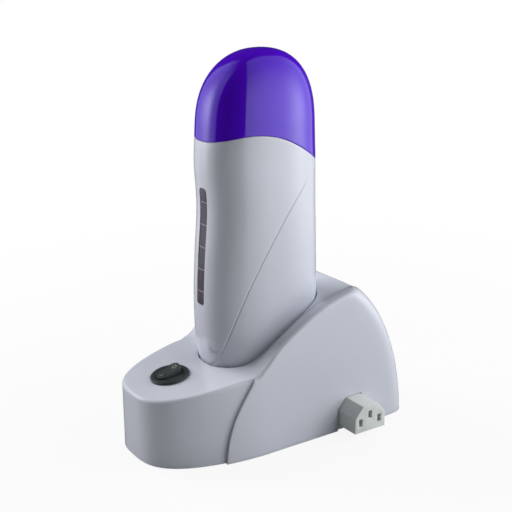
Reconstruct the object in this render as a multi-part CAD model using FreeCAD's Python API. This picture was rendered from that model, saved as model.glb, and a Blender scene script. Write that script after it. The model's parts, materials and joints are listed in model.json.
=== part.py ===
"""Roll on wax heater: a hand-held cartridge heater with a clear cap, standing in its mains base.

Millimetres. +Z up, -Y the front (the switch end), +X the side with the mains outlet.
The origin is on the table plane, under the upright axis of the hand-held heater.
"""
import FreeCAD, Part
import math
import os

Vector = FreeCAD.Vector
OUT = "parts"
os.makedirs(OUT, exist_ok=True)

X = Vector(1, 0, 0)
Y = Vector(0, 1, 0)
Z = Vector(0, 0, 1)

# ---------------------------------------------------------------- driving dimensions
# Fits between pieces
seat_gap = 0.4             # between two bodies that rest against each other
slide_gap = 0.5            # around the heater where it drops into the base
fit_gap = 0.15             # between pieces of one body that are assembled together
plate_gap = 0.5            # round the bottom plate
pin_clearance = 0.05       # radial, a contact pin in its sleeve

# Mains base: outer form
base_front = 85.0          # from the heater's axis to the front edge
base_rear = 87.3           # from the heater's axis to the back, at the table
base_half_width = 43.0     # at the table, over the cowl
base_draft = 3.0           # how far each side leans in over the form height
base_form_height = 97.0    # height at which the curved back would close over
back_turn_y = 25.1         # where the curved back starts, seen from the side
nose_length = 65.0         # the front stretch over which the plan narrows
rear_corner_depth = 22.0   # the rear stretch over which the plan narrows
cowl_wall = 1.8
housing_wall = 2.2
crest_round = 2.4          # rounding of the cowl's upper edge
deck_round = 2.0           # rounding of the housing's upper edge
skirt_recess = 1.2         # bottom plate above the table
bottom_plate_thickness = 2.0

# Mains base: upper surface, side view
deck_switch_height = 44.0  # deck height at the switch
deck_slope = 0.148         # rise of the deck towards the heater
switch_y = -59.5
valley_half_width = 22.0   # the flat middle of the ramp
crest_half_width = 36.0    # where the crest is reached

# Hand-held heater: outer form
heater_half_width = 25.0
section_power = 2.5        # squareness of the oval section
heater_foot = 33.0         # underside of the heater, standing in the base
dome_start = 185.0
heater_top = 228.5
dome_power = 2.27
dome_lean = 3.9            # the dome's tip leans back
shell_wall = 2.2
cap_wall = 1.8
collar_wall = 1.6
collar_above = 6.0         # collar over the parting line, inside the cap
collar_below = 10.0
style_groove_width = 1.0
style_groove_depth = 0.35

# Wax cartridge well
well_half_width = 14.5
well_half_length = 28.5
well_corner = 8.0
well_wall = 1.5
well_floor = 62.0
well_mouth = 158.0
mouth_plate = 2.5

# Window and lamp on the heater
window_low = 83.5
window_high = 152.5
window_width = 7.6
window_corner = 2.2
window_flange = 1.6
lamp_height = 60.0
lamp_x = 10.5
lamp_radius = 3.4

# Mains sockets of the base
socket_y = 43.3
socket_pin_height = 10.5
socket_width = 22.8
socket_height = 16.4
socket_pin_pitch = 14.0
socket_earth_offset = 4.0
socket_chamfer_wide = 6.0
socket_chamfer_high = 6.8
outlet_face_x = 58.7
outlet_inner_x = 26.0
slot_width = 2.6
slot_height = 4.9
blade_width = 2.0
blade_height = 4.0
inlet_depth = 21.0
inlet_gap = 0.6
inlet_floor = 3.0

# Rocker switch
bezel_radius = 11.6
bezel_height = 1.5
barrel_radius = 10.0
barrel_depth = 16.0
barrel_wall = 1.4
rocker_length = 15.4
rocker_width = 8.6
rocker_tilt = 13.0
rocker_pivot_depth = 1.4   # hinge under the bezel's upper face

# Plug between base and heater
plug_half_length = 9.0
plug_half_width = 4.6
plug_height = 9.0
plug_pin_pitch = 8.6
plug_pin_radius = 1.2

# Fasteners
screw_radius = 1.5
screw_head_radius = 2.9
screw_head_height = 1.8
boss_radius = 3.6

# ---------------------------------------------------------------- helpers


def closed_spline(points):
    """A closed smooth wire through the points."""
    curve = Part.BSplineCurve()
    curve.interpolate(Points=points, PeriodicFlag=True)
    return Part.Wire([curve.toShape()])


def open_spline(points):
    """A smooth open edge through the points."""
    curve = Part.BSplineCurve()
    curve.interpolate(Points=points)
    return curve.toShape()


def loft(wires):
    return Part.makeLoft(wires, True, False)


def box(low, high):
    """A block between two corners."""
    return Part.makeBox(high[0] - low[0], high[1] - low[1], high[2] - low[2], Vector(*low))


def cylinder(radius, length, start, direction):
    return Part.makeCylinder(radius, length, start, direction)


def prism(points, direction):
    """A straight extrusion of a polygon."""
    return Part.Face(Part.makePolygon(points + [points[0]])).extrude(direction)


def joined(shapes):
    """One solid out of overlapping solids."""
    whole = shapes[0].fuse(shapes[1:])
    return whole.removeSplitter()


def save(name, shape):
    """Write one piece; a group of fasteners stays a group of solids."""
    solids = shape.Solids
    piece = solids[0] if len(solids) == 1 else Part.makeCompound(solids)
    piece.exportStep(os.path.join(OUT, name + ".step"))
    print(name, len(solids), round(piece.Volume, 1), piece.isValid())


def signed_power(value, power):
    return math.copysign(abs(value) ** power, value)


# ---------------------------------------------------------------- forms shared by the pieces
profile_heights = [heater_foot, 38.0, 47.0, 60.0, 85.0, 110.0, 140.0, 165.0, 176.0, 192.0]
front_lengths = [29.5, 32.6, 35.3, 37.4, 37.9, 36.6, 34.2, 35.3, 34.7, 34.1]
rear_lengths = [32.0, 35.0, 37.8, 39.4, 39.4, 39.0, 38.3, 38.0, 37.6, 37.3]
width_shares = [0.84, 0.915, 0.965, 0.995, 1.0, 1.0, 1.0, 1.0, 1.0, 1.0]


def oval(height, half_x, front, rear, shift=0.0, count=36):
    """One level section of the hand-held heater."""
    power = 2.0 / section_power
    points = []
    for index in range(count):
        angle = 2 * math.pi * index / count
        half_y = rear if math.sin(angle) > 0 else front
        x = half_x * signed_power(math.cos(angle), power)
        y = half_y * signed_power(math.sin(angle), power) + shift
        points.append(Vector(x, y, height))
    return closed_spline(points)


def heater_form(inset, low=0, high=len(profile_heights), floor=heater_foot):
    """The heater's body, drawn in by inset all round, standing on floor."""
    wires = []
    for index in range(low, high):
        half_x = heater_half_width * width_shares[index] - inset
        height = floor if index == 0 else profile_heights[index]
        wires.append(oval(height, half_x, front_lengths[index] - inset, rear_lengths[index] - inset))
    return loft(wires)


def dome_form(inset):
    """The cap's form: the upper body section closed by a leaning dome."""
    wires = []
    for index in range(len(profile_heights) - 4, len(profile_heights) - 1):
        wires.append(oval(profile_heights[index], heater_half_width - inset,
                          front_lengths[index] - inset, rear_lengths[index] - inset))
    rise = heater_top - inset - dome_start
    for share in (0.0, 0.25, 0.45, 0.62, 0.76, 0.87, 0.945, 0.985, 0.998):
        scale = (1 - share ** dome_power) ** (1 / dome_power)
        wires.append(oval(dome_start + rise * share, (heater_half_width - inset) * scale,
                          (front_lengths[-1] - inset) * scale, (rear_lengths[-1] - inset) * scale,
                          dome_lean * share ** 2))
    return loft(wires)


def arch(lift):
    """Everything above the parting line of cap and body, moved up by lift."""
    side = [(-60, 160.0), (-38, 177.4), (-26, 181.7), (-14, 183.2), (0, 181.2), (14, 175.4),
            (38, 161.0), (60, 147.5)]
    points = [Vector(-60, y, z + lift) for y, z in side]
    line = open_spline(points)
    high = heater_top + 60
    top = Part.makePolygon([points[-1], Vector(-60, 60, high), Vector(-60, -60, high), points[0]])
    return Part.Face(Part.Wire([line] + top.Edges)).extrude(X * 120)


def base_outline(height, inset, count=14):
    """The base's plan at one height, drawn in by inset."""
    half_x = base_half_width - base_draft * height / base_form_height - inset
    closing = math.sqrt(1 - (height / base_form_height) ** 2)
    rear = back_turn_y + (base_rear - back_turn_y) * closing - inset
    front = -base_front - cowl_wall + inset
    nose_y = -base_front + nose_length
    corner_y = rear - rear_corner_depth
    right = []
    for index in range(count):
        angle = math.pi / 2 * (1 - index / count)
        x = half_x * math.cos(angle) ** (2 / 3.0)
        y = nose_y - (nose_y - front) * math.sin(angle) ** (2 / 1.8)
        right.append((x, y))
    for share in (0.0, 0.33, 0.67):
        right.append((half_x, nose_y + (corner_y - nose_y) * share))
    for index in range(count):
        angle = math.pi / 2 * index / count
        x = half_x * math.cos(angle) ** 0.4
        y = corner_y + rear_corner_depth * math.sin(angle) ** 0.4
        right.append((x, y))
    points = [Vector(x, y, height) for x, y in right]
    points.append(Vector(0, rear, height))
    points += [Vector(-x, y, height) for x, y in reversed(right[1:])]
    return closed_spline(points)


base_levels = [0.0, 14.0, 28.0, 42.0, 54.0, 65.0, 74.0, 81.5, 87.5, 92.0]


def base_form(inset, through=0.0):
    """The base's outer form, drawn in by inset; a hollow also goes through the underside."""
    levels = [-through] + base_levels[1:]
    return loft([base_outline(level, inset) for level in levels])


def blend(knots, value):
    """A smooth line through (position, height) knots, straight beyond its ends."""
    last = len(knots) - 1
    if value <= knots[0][0]:
        return knots[0][1]
    if value >= knots[last][0]:
        return knots[last][1]
    index = max(i for i in range(last) if knots[i][0] <= value)

    def slope(i):
        before = max(i - 1, 0)
        after = min(i + 1, last)
        return (knots[after][1] - knots[before][1]) / (knots[after][0] - knots[before][0])

    x0, y0 = knots[index]
    x1, y1 = knots[index + 1]
    width = x1 - x0
    t = (value - x0) / width
    return (y0 * (2 * t ** 3 - 3 * t ** 2 + 1) + slope(index) * width * (t ** 3 - 2 * t ** 2 + t)
            + y1 * (3 * t ** 2 - 2 * t ** 3) + slope(index + 1) * width * (t ** 3 - t ** 2))


def deck_line(y):
    return deck_switch_height + deck_slope * (y - switch_y)


valley_knots = [(-140.0, deck_line(-140.0)), (-60.0, deck_line(-60.0)), (-36.0, deck_line(-36.0)),
                (-23.0, deck_line(-23.0)), (-12.0, 54.6), (0.0, 62.2), (12.0, 69.8), (22.0, 75.3),
                (30.0, 78.4), (40.0, 81.3), (53.0, 83.6), (70.0, 85.4), (120.0, 90.0)]
crest_knots = [(-140.0, 0.0), (-40.0, 0.0), (-25.5, 0.0), (-21.5, 1.4), (-17.0, 4.2), (-12.0, 6.3),
               (-5.0, 7.3), (3.0, 7.2), (12.5, 6.6), (22.6, 5.6), (32.0, 5.0), (53.0, 4.4), (120.0, 4.4)]


def top_height(x, y):
    """Height of the base's upper surface: deck, ramp, and the crests beside the ramp."""
    share = (abs(x) - valley_half_width) / (crest_half_width - valley_half_width)
    share = min(max(share, 0.0), 1.0)
    share = share * share * (3 - 2 * share)
    return blend(valley_knots, y) + share * blend(crest_knots, y)


def above_top(drop):
    """Everything above the base's upper surface, moved down by drop."""
    rows = []
    for row in range(-33, 31):
        y = row * 3.4
        rows.append([Vector(column * 3.0, y, top_height(column * 3.0, y) - drop) for column in range(-20, 21)])
    surface = Part.BSplineSurface()
    surface.interpolate(rows)
    return surface.toShape().extrude(Z * 120)


def rear_of_arc():
    """Everything behind the arc where the cowl's front edge sweeps up both sides."""
    side = [(-47.2, -20.0), (-46.4, 0.0), (-44.6, 13.0), (-40.6, 25.5), (-35.0, 36.0), (-30.0, 43.6),
            (-25.6, 50.5), (-22.0, 58.0), (-19.5, 70.0), (-18.0, 110.0)]
    points = [Vector(-60, y, z) for y, z in side]
    line = open_spline(points)
    back = Part.makePolygon([points[-1], Vector(-60, 120, 110), Vector(-60, 120, -20), points[0]])
    return Part.Face(Part.Wire([line] + back.Edges)).extrude(X * 120)


def upper_edges(shape):
    """The long edges round the upper surface of a base form."""
    low = deck_line(-base_front) / 2
    return [edge for edge in shape.Edges if edge.BoundBox.ZMin > low and edge.BoundBox.YLength > base_front / 2]


def half_space(side):
    """Everything on one side of the parting plane X = 0."""
    if side > 0:
        return box((0, -80, 0), (60, 80, 260))
    return box((-60, -80, 0), (0, 80, 260))


def stadium(half_length, half_width, low, high, y=0.0):
    """An upright block with round ends, long along Y."""
    reach = half_length - half_width
    block = box((-half_width, y - reach, low), (half_width, y + reach, high))
    ends = [cylinder(half_width, high - low, Vector(0, y + sign * reach, low), Z) for sign in (-1, 1)]
    return joined([block] + ends)


def deck_frame():
    """The switch's own frame: origin on the deck, its Z square to the deck."""
    tilt = math.degrees(math.atan(deck_slope))
    return FreeCAD.Placement(Vector(0, switch_y, deck_switch_height), FreeCAD.Rotation(X, tilt))


def placed(shape, placement):
    moved = shape.copy()
    moved.Placement = placement.multiply(moved.Placement)
    return moved


def wire_run(points, radius, bend):
    """A round wire along straight runs joined by tangent arcs."""
    edges = []
    start = points[0]
    for index in range(1, len(points) - 1):
        corner = points[index]
        into = (corner - points[index - 1]).normalize()
        out = (points[index + 1] - corner).normalize()
        half_turn = into.getAngle(out) / 2
        back_off = bend * math.tan(half_turn)
        first = corner - into * back_off
        last = corner + out * back_off
        inward = (out - into).normalize()
        centre = corner + inward * (bend / math.cos(half_turn))
        middle = centre - inward * bend
        edges.append(Part.LineSegment(start, first).toShape())
        edges.append(Part.Arc(first, middle, last).toShape())
        start = last
    edges.append(Part.LineSegment(start, points[-1]).toShape())
    path = Part.Wire(edges)
    direction = points[1] - points[0]
    section = Part.Wire([Part.Circle(points[0], direction, radius).toShape()])
    return path.makePipeShell([section], True, False)


# ---------------------------------------------------------------- mains base: places of things
bottom_plate_top = skirt_recess + bottom_plate_thickness
cradle_floor = heater_foot - 0.6
tub_underside = cradle_floor - housing_wall
base_bosses = [(-27.0, -48.0), (27.0, -48.0), (-28.5, 64.0), (28.5, 64.0)]
foot_places = [(-13.5, -68.0), (13.5, -68.0), (-25.0, 76.0), (25.0, 76.0), (0.0, 0.0)]
foot_radius = 4.6
base_inside = cowl_wall + housing_wall
socket_middle = socket_pin_height + socket_earth_offset / 2
pilot_radius = screw_radius + 0.05
shank_radius = screw_radius + 0.25


def socket_profile(grow, x, length):
    """The mains connector's outline, grown by grow, as a prism along X."""
    half = socket_width / 2 + grow
    low = socket_middle - socket_height / 2 - grow
    high = socket_middle + socket_height / 2 + grow
    wide = socket_chamfer_wide + 0.4 * grow
    tall = socket_chamfer_high + 0.4 * grow
    points = [(-half, low), (half, low), (half, high - tall), (half - wide, high),
              (-half + wide, high), (-half, high - tall)]
    return prism([Vector(x, socket_y + y, z) for y, z in points], X * length)


def socket_notch(grow, x, length):
    """The opening for a connector in the side walls, open to the bottom edge."""
    half = socket_width / 2 + grow
    middle = socket_middle
    return joined([socket_profile(grow, x, length),
                   box((x, socket_y - half, -5), (x + length, socket_y + half, middle))])


def pin_places():
    """Line, neutral and earth: the three (y, z) places of a mains connector."""
    half = socket_pin_pitch / 2
    return [(socket_y - half, socket_pin_height), (socket_y + half, socket_pin_height),
            (socket_y, socket_pin_height + socket_earth_offset)]


outer_form = base_form(0.0)
housing_form = base_form(cowl_wall)
above = above_top(0.0)
behind_arc = rear_of_arc()
rear_body = outer_form.cut(above).common(behind_arc)
rear_body = rear_body.makeFillet(crest_round, upper_edges(rear_body))
notch_gap = 0.5
inlet_wall = 1.2
outlet_notch = socket_notch(notch_gap, 30.0, 30.0)
inlet_notch = socket_notch(inlet_gap + inlet_wall + notch_gap, -60.0, 30.0)


def base_housing():
    """Front body, deck, ramp and the cradle that the heater stands in."""
    tub = heater_form(-(slide_gap + housing_wall), 0, 7, tub_underside)
    hollow = base_form(base_inside, 4.0).cut(above_top(housing_wall)).cut(tub)
    front = housing_form.cut(above).cut(behind_arc)
    front = front.makeFillet(deck_round, upper_edges(front)).cut(hollow)
    rear = housing_form.common(rear_body).cut(hollow)
    posts = [cylinder(boss_radius, 80, Vector(x, y, bottom_plate_top + 3.1), Z) for x, y in base_bosses]
    posts = Part.makeCompound(posts).common(base_form(cowl_wall + 0.6)).cut(above_top(0.6))
    pilots = [cylinder(pilot_radius, 12, Vector(x, y, bottom_plate_top), Z) for x, y in base_bosses]
    well = heater_form(-slide_gap, 0, 8, cradle_floor)
    shell = front.fuse(rear).cut(well).fuse(posts.Solids)
    switch_hole = placed(cylinder(barrel_radius + fit_gap, 30, Vector(0, 0, -15), Z), deck_frame())
    plug_hole = stadium(plug_half_length + fit_gap, plug_half_width + fit_gap, 20, heater_foot)
    return shell.cut([switch_hole, plug_hole, outlet_notch, inlet_notch] + pilots)


def rear_cowl():
    """The wing shell that wraps the sides and back, proud of the front body."""
    return rear_body.cut(base_form(cowl_wall, 4.0)).cut([outlet_notch, inlet_notch])


def bottom_plate():
    """Closes the base from below, with screw wells, foot seats, vents and the outlet's upstand."""
    outline = base_form(base_inside + plate_gap, 4.0).slice(Z, bottom_plate_top)[0]
    plate = Part.Face(outline).extrude(Z * -bottom_plate_thickness)
    wells = [cylinder(screw_head_radius + 2.0, 5.0, Vector(x, y, skirt_recess), Z) for x, y in base_bosses]
    low = socket_middle - socket_height / 2
    step = box((25.0, socket_y - socket_width / 2, skirt_recess),
               (base_half_width - base_draft * low / base_form_height, socket_y + socket_width / 2, low))
    plate = joined([plate, step] + wells)
    cuts = [socket_profile(inlet_gap + inlet_wall + fit_gap, -60.0, 60.0 - inlet_inner)]
    for x, y in base_bosses:
        cuts.append(cylinder(screw_head_radius + 0.3, 3.0, Vector(x, y, skirt_recess - 1), Z))
        cuts.append(cylinder(shank_radius, 10.0, Vector(x, y, skirt_recess - 1), Z))
    for x, y in foot_places:
        cuts.append(cylinder(foot_radius + fit_gap, 1.8, Vector(x, y, skirt_recess - 1), Z))
    for row in range(7):
        y = -24.0 + row * 6.0
        cuts.append(box((-18.0, y - 1.2, 0), (-7.0, y + 1.2, 10)))
        cuts.append(box((7.0, y - 1.2, 0), (18.0, y + 1.2, 10)))
    return plate.cut(cuts)


def rubber_feet():
    return Part.makeCompound([cylinder(foot_radius, skirt_recess + 0.8, Vector(x, y, 0), Z)
                              for x, y in foot_places])


def screw(start, direction, length):
    """A pan-head screw: start is the underside of its head, direction the way it points."""
    shank = cylinder(screw_radius, length, start, direction)
    head = cylinder(screw_head_radius, screw_head_height, start - direction * screw_head_height, direction)
    drive = []
    face = start - direction * screw_head_height
    across = X if abs(direction.z) > 0.5 else Y
    other = direction.cross(across)
    for way in (across, other):
        middle = face + direction * 0.4
        side = direction.cross(way)
        corners = [middle + way * a + side * b for a, b in ((-1.7, -0.3), (1.7, -0.3), (1.7, 0.3), (-1.7, 0.3))]
        drive.append(prism([corner - direction * 0.5 for corner in corners], direction * 1.2))
    return joined([shank, head]).cut(drive)


def bottom_screws():
    return Part.makeCompound([screw(Vector(x, y, skirt_recess + 2.0), Z, 11.0) for x, y in base_bosses])


inlet_inner = 19.0


def outlet_body():
    """The insulated mains outlet: three slots in its face, contact pockets behind."""
    body = socket_profile(0.0, outlet_inner_x, outlet_face_x - outlet_inner_x)
    flange_x = base_half_width - base_draft * socket_middle / base_form_height - base_inside - 2.4
    flange = socket_profile(1.8, flange_x, 2.0).cut(box((0, 0, -10), (80, 80, bottom_plate_top + 0.1)))
    body = joined([body, flange]).cut(box((0, 0, -10), (outlet_face_x - 20, 80, socket_middle - socket_height / 2)))
    cuts = []
    for y, z in pin_places():
        cuts.append(box((outlet_face_x - 4, y - slot_width / 2, z - slot_height / 2),
                        (outlet_face_x + 1, y + slot_width / 2, z + slot_height / 2)))
        cuts.append(box((outlet_face_x - 22, y - 2.0, z - 3.0), (outlet_face_x - 3, y + 2.0, z + 3.0)))
        cuts.append(box((0, y - 0.55, z - 1.15), (outlet_face_x - 20, y + 0.55, z + 1.15)))
    return body.cut(cuts)


def outlet_sleeves():
    """Three folded brass contacts, each a square sleeve with a solder tail."""
    parts = []
    for y, z in pin_places():
        sleeve = box((outlet_face_x - 21.8, y - 1.85, z - 2.85), (outlet_face_x - 4.5, y + 1.85, z + 2.85))
        hole = box((outlet_face_x - 20.8, y - slot_width / 2, z - slot_height / 2),
                   (outlet_face_x, y + slot_width / 2, z + slot_height / 2))
        tail = box((outlet_inner_x - 6, y - 0.4, z - 1.0), (outlet_face_x - 21.5, y + 0.4, z + 1.0))
        parts.append(joined([sleeve.cut(hole), tail]))
    return Part.makeCompound(parts)


def inlet_body():
    """The recessed mains inlet that takes a lead, or the next base's outlet."""
    mouth = -(base_half_width - base_draft * socket_middle / base_form_height) - 0.1
    outer_length = -inlet_inner - mouth
    body = socket_profile(inlet_gap + inlet_wall, mouth, outer_length)
    recess = socket_profile(inlet_gap, mouth - 1, inlet_depth + 1)
    cuts = [recess]
    for y, z in pin_places():
        cuts.append(box((-40, y - blade_width / 2 - 0.05, z - blade_height / 2 - 0.05),
                        (0, y + blade_width / 2 + 0.05, z + blade_height / 2 + 0.05)))
    return body.cut(cuts)


def inlet_pins():
    """Three flat contact pins with solder tails."""
    parts = []
    for y, z in pin_places():
        blade = box((-base_half_width + 5.0, y - blade_width / 2, z - blade_height / 2),
                    (-inlet_inner + 1, y + blade_width / 2, z + blade_height / 2))
        tail = box((-inlet_inner, y - 0.4, z - 1.0), (-inlet_inner + 7, y + 0.4, z + 1.0))
        parts.append(joined([blade, tail]))
    return Part.makeCompound(parts)


# ---------------------------------------------------------------- rocker switch
pivot_z = bezel_height - rocker_pivot_depth
recess_half_length = rocker_length / 2 + 1.0
recess_half_width = rocker_width / 2 + 0.45
trunnion_radius = 1.1
trunnion_reach = 1.8
contact_pivot_z = -10.2


def switch_frame():
    """Round bezel and barrel with the rocker's recess and its two hinge holes."""
    bezel = cylinder(bezel_radius, bezel_height, Vector(0, 0, 0), Z)
    bezel = bezel.makeChamfer(0.6, [edge for edge in bezel.Edges
                                    if edge.BoundBox.ZMin > bezel_height - 0.1])
    barrel = cylinder(barrel_radius, barrel_depth, Vector(0, 0, -barrel_depth), Z)
    recess = stadium(recess_half_length, recess_half_width, barrel_wall - barrel_depth, 5)
    hinge = cylinder(trunnion_radius + pin_clearance, 2 * (recess_half_width + trunnion_reach),
                     Vector(-recess_half_width - trunnion_reach, 0, pivot_z), X)
    slots = [box((-2.5, y - 0.45, -20), (2.5, y + 0.45, 0)) for y in (0.0, 5.6)]
    body = joined([bezel, barrel]).cut([recess, hinge] + slots)
    return placed(body, deck_frame())


def rocker_place(tilt):
    """The rocker's frame: origin on its hinge, tipped by tilt degrees."""
    lift = FreeCAD.Placement(Vector(0, 0, pivot_z), FreeCAD.Rotation(X, tilt))
    return deck_frame().multiply(lift)


def switch_rocker():
    """The paddle: two faces that meet in a shallow V, a stem below, two trunnions."""
    half = rocker_length / 2
    width = rocker_width / 2
    side = [(-half, 3.9), (0, 3.0), (half, 3.9), (half, -0.6), (3.4, -3.0), (-3.4, -3.0), (-half, -0.6)]
    paddle = prism([Vector(-width, y, z) for y, z in side], X * rocker_width)
    paddle = paddle.common(stadium(half, width, -10, 10))
    stem = cylinder(2.4, 5.0, Vector(0, 0, -7.0), Z)
    trunnions = cylinder(trunnion_radius, 2 * (recess_half_width + trunnion_reach) - 0.4,
                         Vector(-recess_half_width - trunnion_reach + 0.2, 0, 0), X)
    bore = cylinder(1.3, 5.0, Vector(0, 0, -7.5), Z)
    return placed(joined([paddle, stem, trunnions]).cut(bore), rocker_place(rocker_tilt))


def switch_plunger():
    """The sprung pin in the rocker's stem that tips the contact arm."""
    pin = cylinder(1.2, 4.4, Vector(0, 0, -7.0), Z)
    tip = Part.makeSphere(1.2, Vector(0, 0, -7.0))
    return placed(joined([pin, tip]), rocker_place(rocker_tilt))


def switch_contact():
    """The seesaw contact arm on the middle terminal."""
    arm = prism([Vector(-1.6, y, z) for y, z in
                 ((-6.4, 0.1), (-5.6, 0.1), (0, 0.7), (5.6, 0.1), (6.4, 0.1), (6.4, 0.9), (0, 1.3), (-6.4, 0.9))],
                X * 3.2)
    arm = arm.cut(cylinder(0.6, 10, Vector(-5, 0, 0.1), X))
    place = FreeCAD.Placement(Vector(0, 0, contact_pivot_z), FreeCAD.Rotation(X, -rocker_tilt / 2))
    return placed(arm, deck_frame().multiply(place))


def switch_terminals():
    """Two tab terminals through the barrel's floor: the pivot post and the rear contact."""
    post = box((-2.4, -0.4, -24), (2.4, 0.4, contact_pivot_z - 0.45))
    contact = box((-2.4, 5.2, -24), (2.4, 6.0, contact_pivot_z - 1.6))
    holes = [cylinder(0.8, 20, Vector(0, -10, -21.5), Y)]
    return placed(Part.makeCompound([post.cut(holes), contact.cut(holes)]), deck_frame())


# ---------------------------------------------------------------- plug between base and heater


def cradle_plug():
    """The raised two-pole block in the cradle, held by a flange under the cradle floor."""
    block = stadium(plug_half_length, plug_half_width, tub_underside - 2, cradle_floor + plug_height)
    flange = stadium(plug_half_length + 2.5, plug_half_width + 2.5, tub_underside - 2.2, tub_underside - 0.1)
    holes = [cylinder(2.1, 30, Vector(0, sign * plug_pin_pitch / 2, 20), Z) for sign in (-1, 1)]
    return joined([block, flange]).cut(holes)


def cradle_sleeves():
    """Two turned brass sleeves in the plug."""
    parts = []
    top = cradle_floor + plug_height - 0.5
    for sign in (-1, 1):
        place = Vector(0, sign * plug_pin_pitch / 2, tub_underside - 5)
        sleeve = cylinder(2.0, top - place.z, place, Z)
        bore = cylinder(plug_pin_radius + pin_clearance, top, place + Z * 2, Z)
        parts.append(sleeve.cut(bore))
    return Part.makeCompound(parts)


# ---------------------------------------------------------------- wiring of the base
wire_radius = 1.1


def base_wires():
    """The insulated wires in the base, one node each."""
    half = socket_pin_pitch / 2
    level = socket_pin_height
    start = -inlet_inner + 7.0
    end = outlet_inner_x - 6.0
    links = {
        "live_link_wire": [Vector(start, socket_y - half, level), Vector(end, socket_y - half, level)],
        "neutral_link_wire": [Vector(start, socket_y + half, level), Vector(end, socket_y + half, level)],
        "earth_link_wire": [Vector(start, socket_y, level + socket_earth_offset),
                            Vector(end, socket_y, level + socket_earth_offset)],
    }
    wires = {name: wire_run(points, wire_radius, 4.0) for name, points in links.items()}
    frame = deck_frame()
    tab_one = frame.multVec(Vector(0, 0, -24.3))
    tab_two = frame.multVec(Vector(0, 5.6, -24.3))
    live_y = socket_y - half
    wires["switch_live_wire"] = wire_run(
        [Vector(-4, live_y - wire_radius - 1.2, level), Vector(-12, live_y - 10, level - 3),
         Vector(-12, switch_y + 12, level - 3), Vector(tab_one.x, tab_one.y + 1, level - 2), tab_one],
        wire_radius, 3.0)
    wires["switched_wire"] = wire_run(
        [tab_two, Vector(tab_two.x, tab_two.y + 2, level + 2), Vector(6, -30, level + 2),
         Vector(6, -14, level + 4), Vector(0, -plug_pin_pitch / 2, level + 7),
         Vector(0, -plug_pin_pitch / 2, tub_underside - 5.1)], wire_radius, 2.5)
    neutral_y = socket_y + half
    wires["plug_neutral_wire"] = wire_run(
        [Vector(9, neutral_y - 1.2 - wire_radius, level), Vector(9, neutral_y - 8, level - 4.0),
         Vector(9, 16, level - 4.0), Vector(0, plug_pin_pitch / 2 + 2, level + 4),
         Vector(0, plug_pin_pitch / 2, tub_underside - 5.1)], wire_radius, 2.5)
    return wires


# ---------------------------------------------------------------- hand-held heater
heater_body = heater_form(0.0).cut(arch(-seat_gap))
inner_form = heater_form(shell_wall, 0, len(profile_heights), heater_foot + 2.6)
shell_screws_at = [(-19.0, 53.0), (20.0, 53.0)]
inlet_half_length = plug_half_length + 0.5
inlet_half_width = plug_half_width + 0.5
inlet_shell = 1.5
inlet_roof = cradle_floor + plug_height + 1.6


def window_slot(grow, low_y, high_y):
    """The window's upright slot, as a prism along Y."""
    half = window_width / 2 + grow
    block = box((-half, low_y, window_low - grow), (half, high_y, window_high + grow))
    corners = [edge for edge in block.Edges if edge.BoundBox.YLength > (high_y - low_y) * 0.9]
    return block.makeFillet(window_corner + grow, corners)


def lamp_axis():
    """A point on the front surface at the lamp, and the outward direction there."""
    share = lamp_x / heater_half_width
    front = front_lengths[profile_heights.index(60.0)]
    y = -front * (1 - share ** section_power) ** (1 / section_power)
    power = section_power - 1
    outward = Vector(share ** power / heater_half_width, -(abs(y) / front) ** power / front, 0).normalize()
    return Vector(lamp_x, y, lamp_height), outward


def style_groove():
    """The shallow line that sweeps from the rear top to the front foot on both sides."""
    side = [(45.0, 173.0), (27.0, 158.0), (10.0, 140.2), (-1.0, 124.9), (-10.0, 111.0), (-18.8, 94.9),
            (-25.5, 79.6), (-31.5, 62.0), (-35.0, 47.0)]
    lines = []
    for shift in (-style_groove_width / 2, style_groove_width / 2):
        lines.append(open_spline([Vector(-40, y + shift * 0.8, z - shift * 0.6) for y, z in side]))
    ends = [Part.LineSegment(lines[0].Vertexes[i].Point, lines[1].Vertexes[i].Point).toShape() for i in (0, -1)]
    outline = Part.Wire(Part.__sortEdges__([lines[0], lines[1]] + ends))
    band = Part.Face(outline).extrude(X * 80)
    return band.cut(heater_form(style_groove_depth))


def heater_shells():
    """The two moulded halves, parted at X = 0, with bosses for the joining screws."""
    hollow = inner_form
    shell = heater_body.cut(hollow)
    posts = []
    for y, z in shell_screws_at:
        posts.append(cylinder(boss_radius, 60, Vector(-30, y, z), X).common(heater_form(shell_wall / 2)))
    shell = joined([shell] + posts)
    point, outward = lamp_axis()
    cuts = [window_slot(0.0, -50, -20), style_groove(),
            cylinder(lamp_radius + fit_gap, 12, point - outward * 6, outward),
            stadium(inlet_half_length + inlet_shell + fit_gap, inlet_half_width + inlet_shell + fit_gap,
                    heater_foot - 5, heater_foot + 4)]
    for y, z in shell_screws_at:
        cuts.append(cylinder(screw_head_radius + 0.3, 20, Vector(-34, y, z), X))
        cuts.append(cylinder(shank_radius, 34, Vector(-34, y, z), X))
        cuts.append(cylinder(pilot_radius, 13.5, Vector(-1, y, z), X))
    shell = shell.cut(cuts)
    return shell.common(half_space(-1)), shell.common(half_space(1))


def shell_screws():
    return Part.makeCompound([screw(Vector(-14.0, y, z), X, 25.5) for y, z in shell_screws_at])


def window_lens():
    """The smoked strip in the slot, with a flange behind the shell."""
    skin = heater_form(0.25).cut(heater_form(2.5))
    strip = window_slot(-fit_gap, -50, -20).common(skin)
    back = heater_form(2.3).cut(heater_form(3.3))
    flange = window_slot(window_flange, -50, -20).common(back)
    return joined([strip, flange])


def pilot_lens():
    point, outward = lamp_axis()
    skin = heater_form(0.0, 2, 6).cut(heater_form(2.4, 2, 6))
    return cylinder(lamp_radius, 12, point - outward * 6, outward).common(skin)


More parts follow.
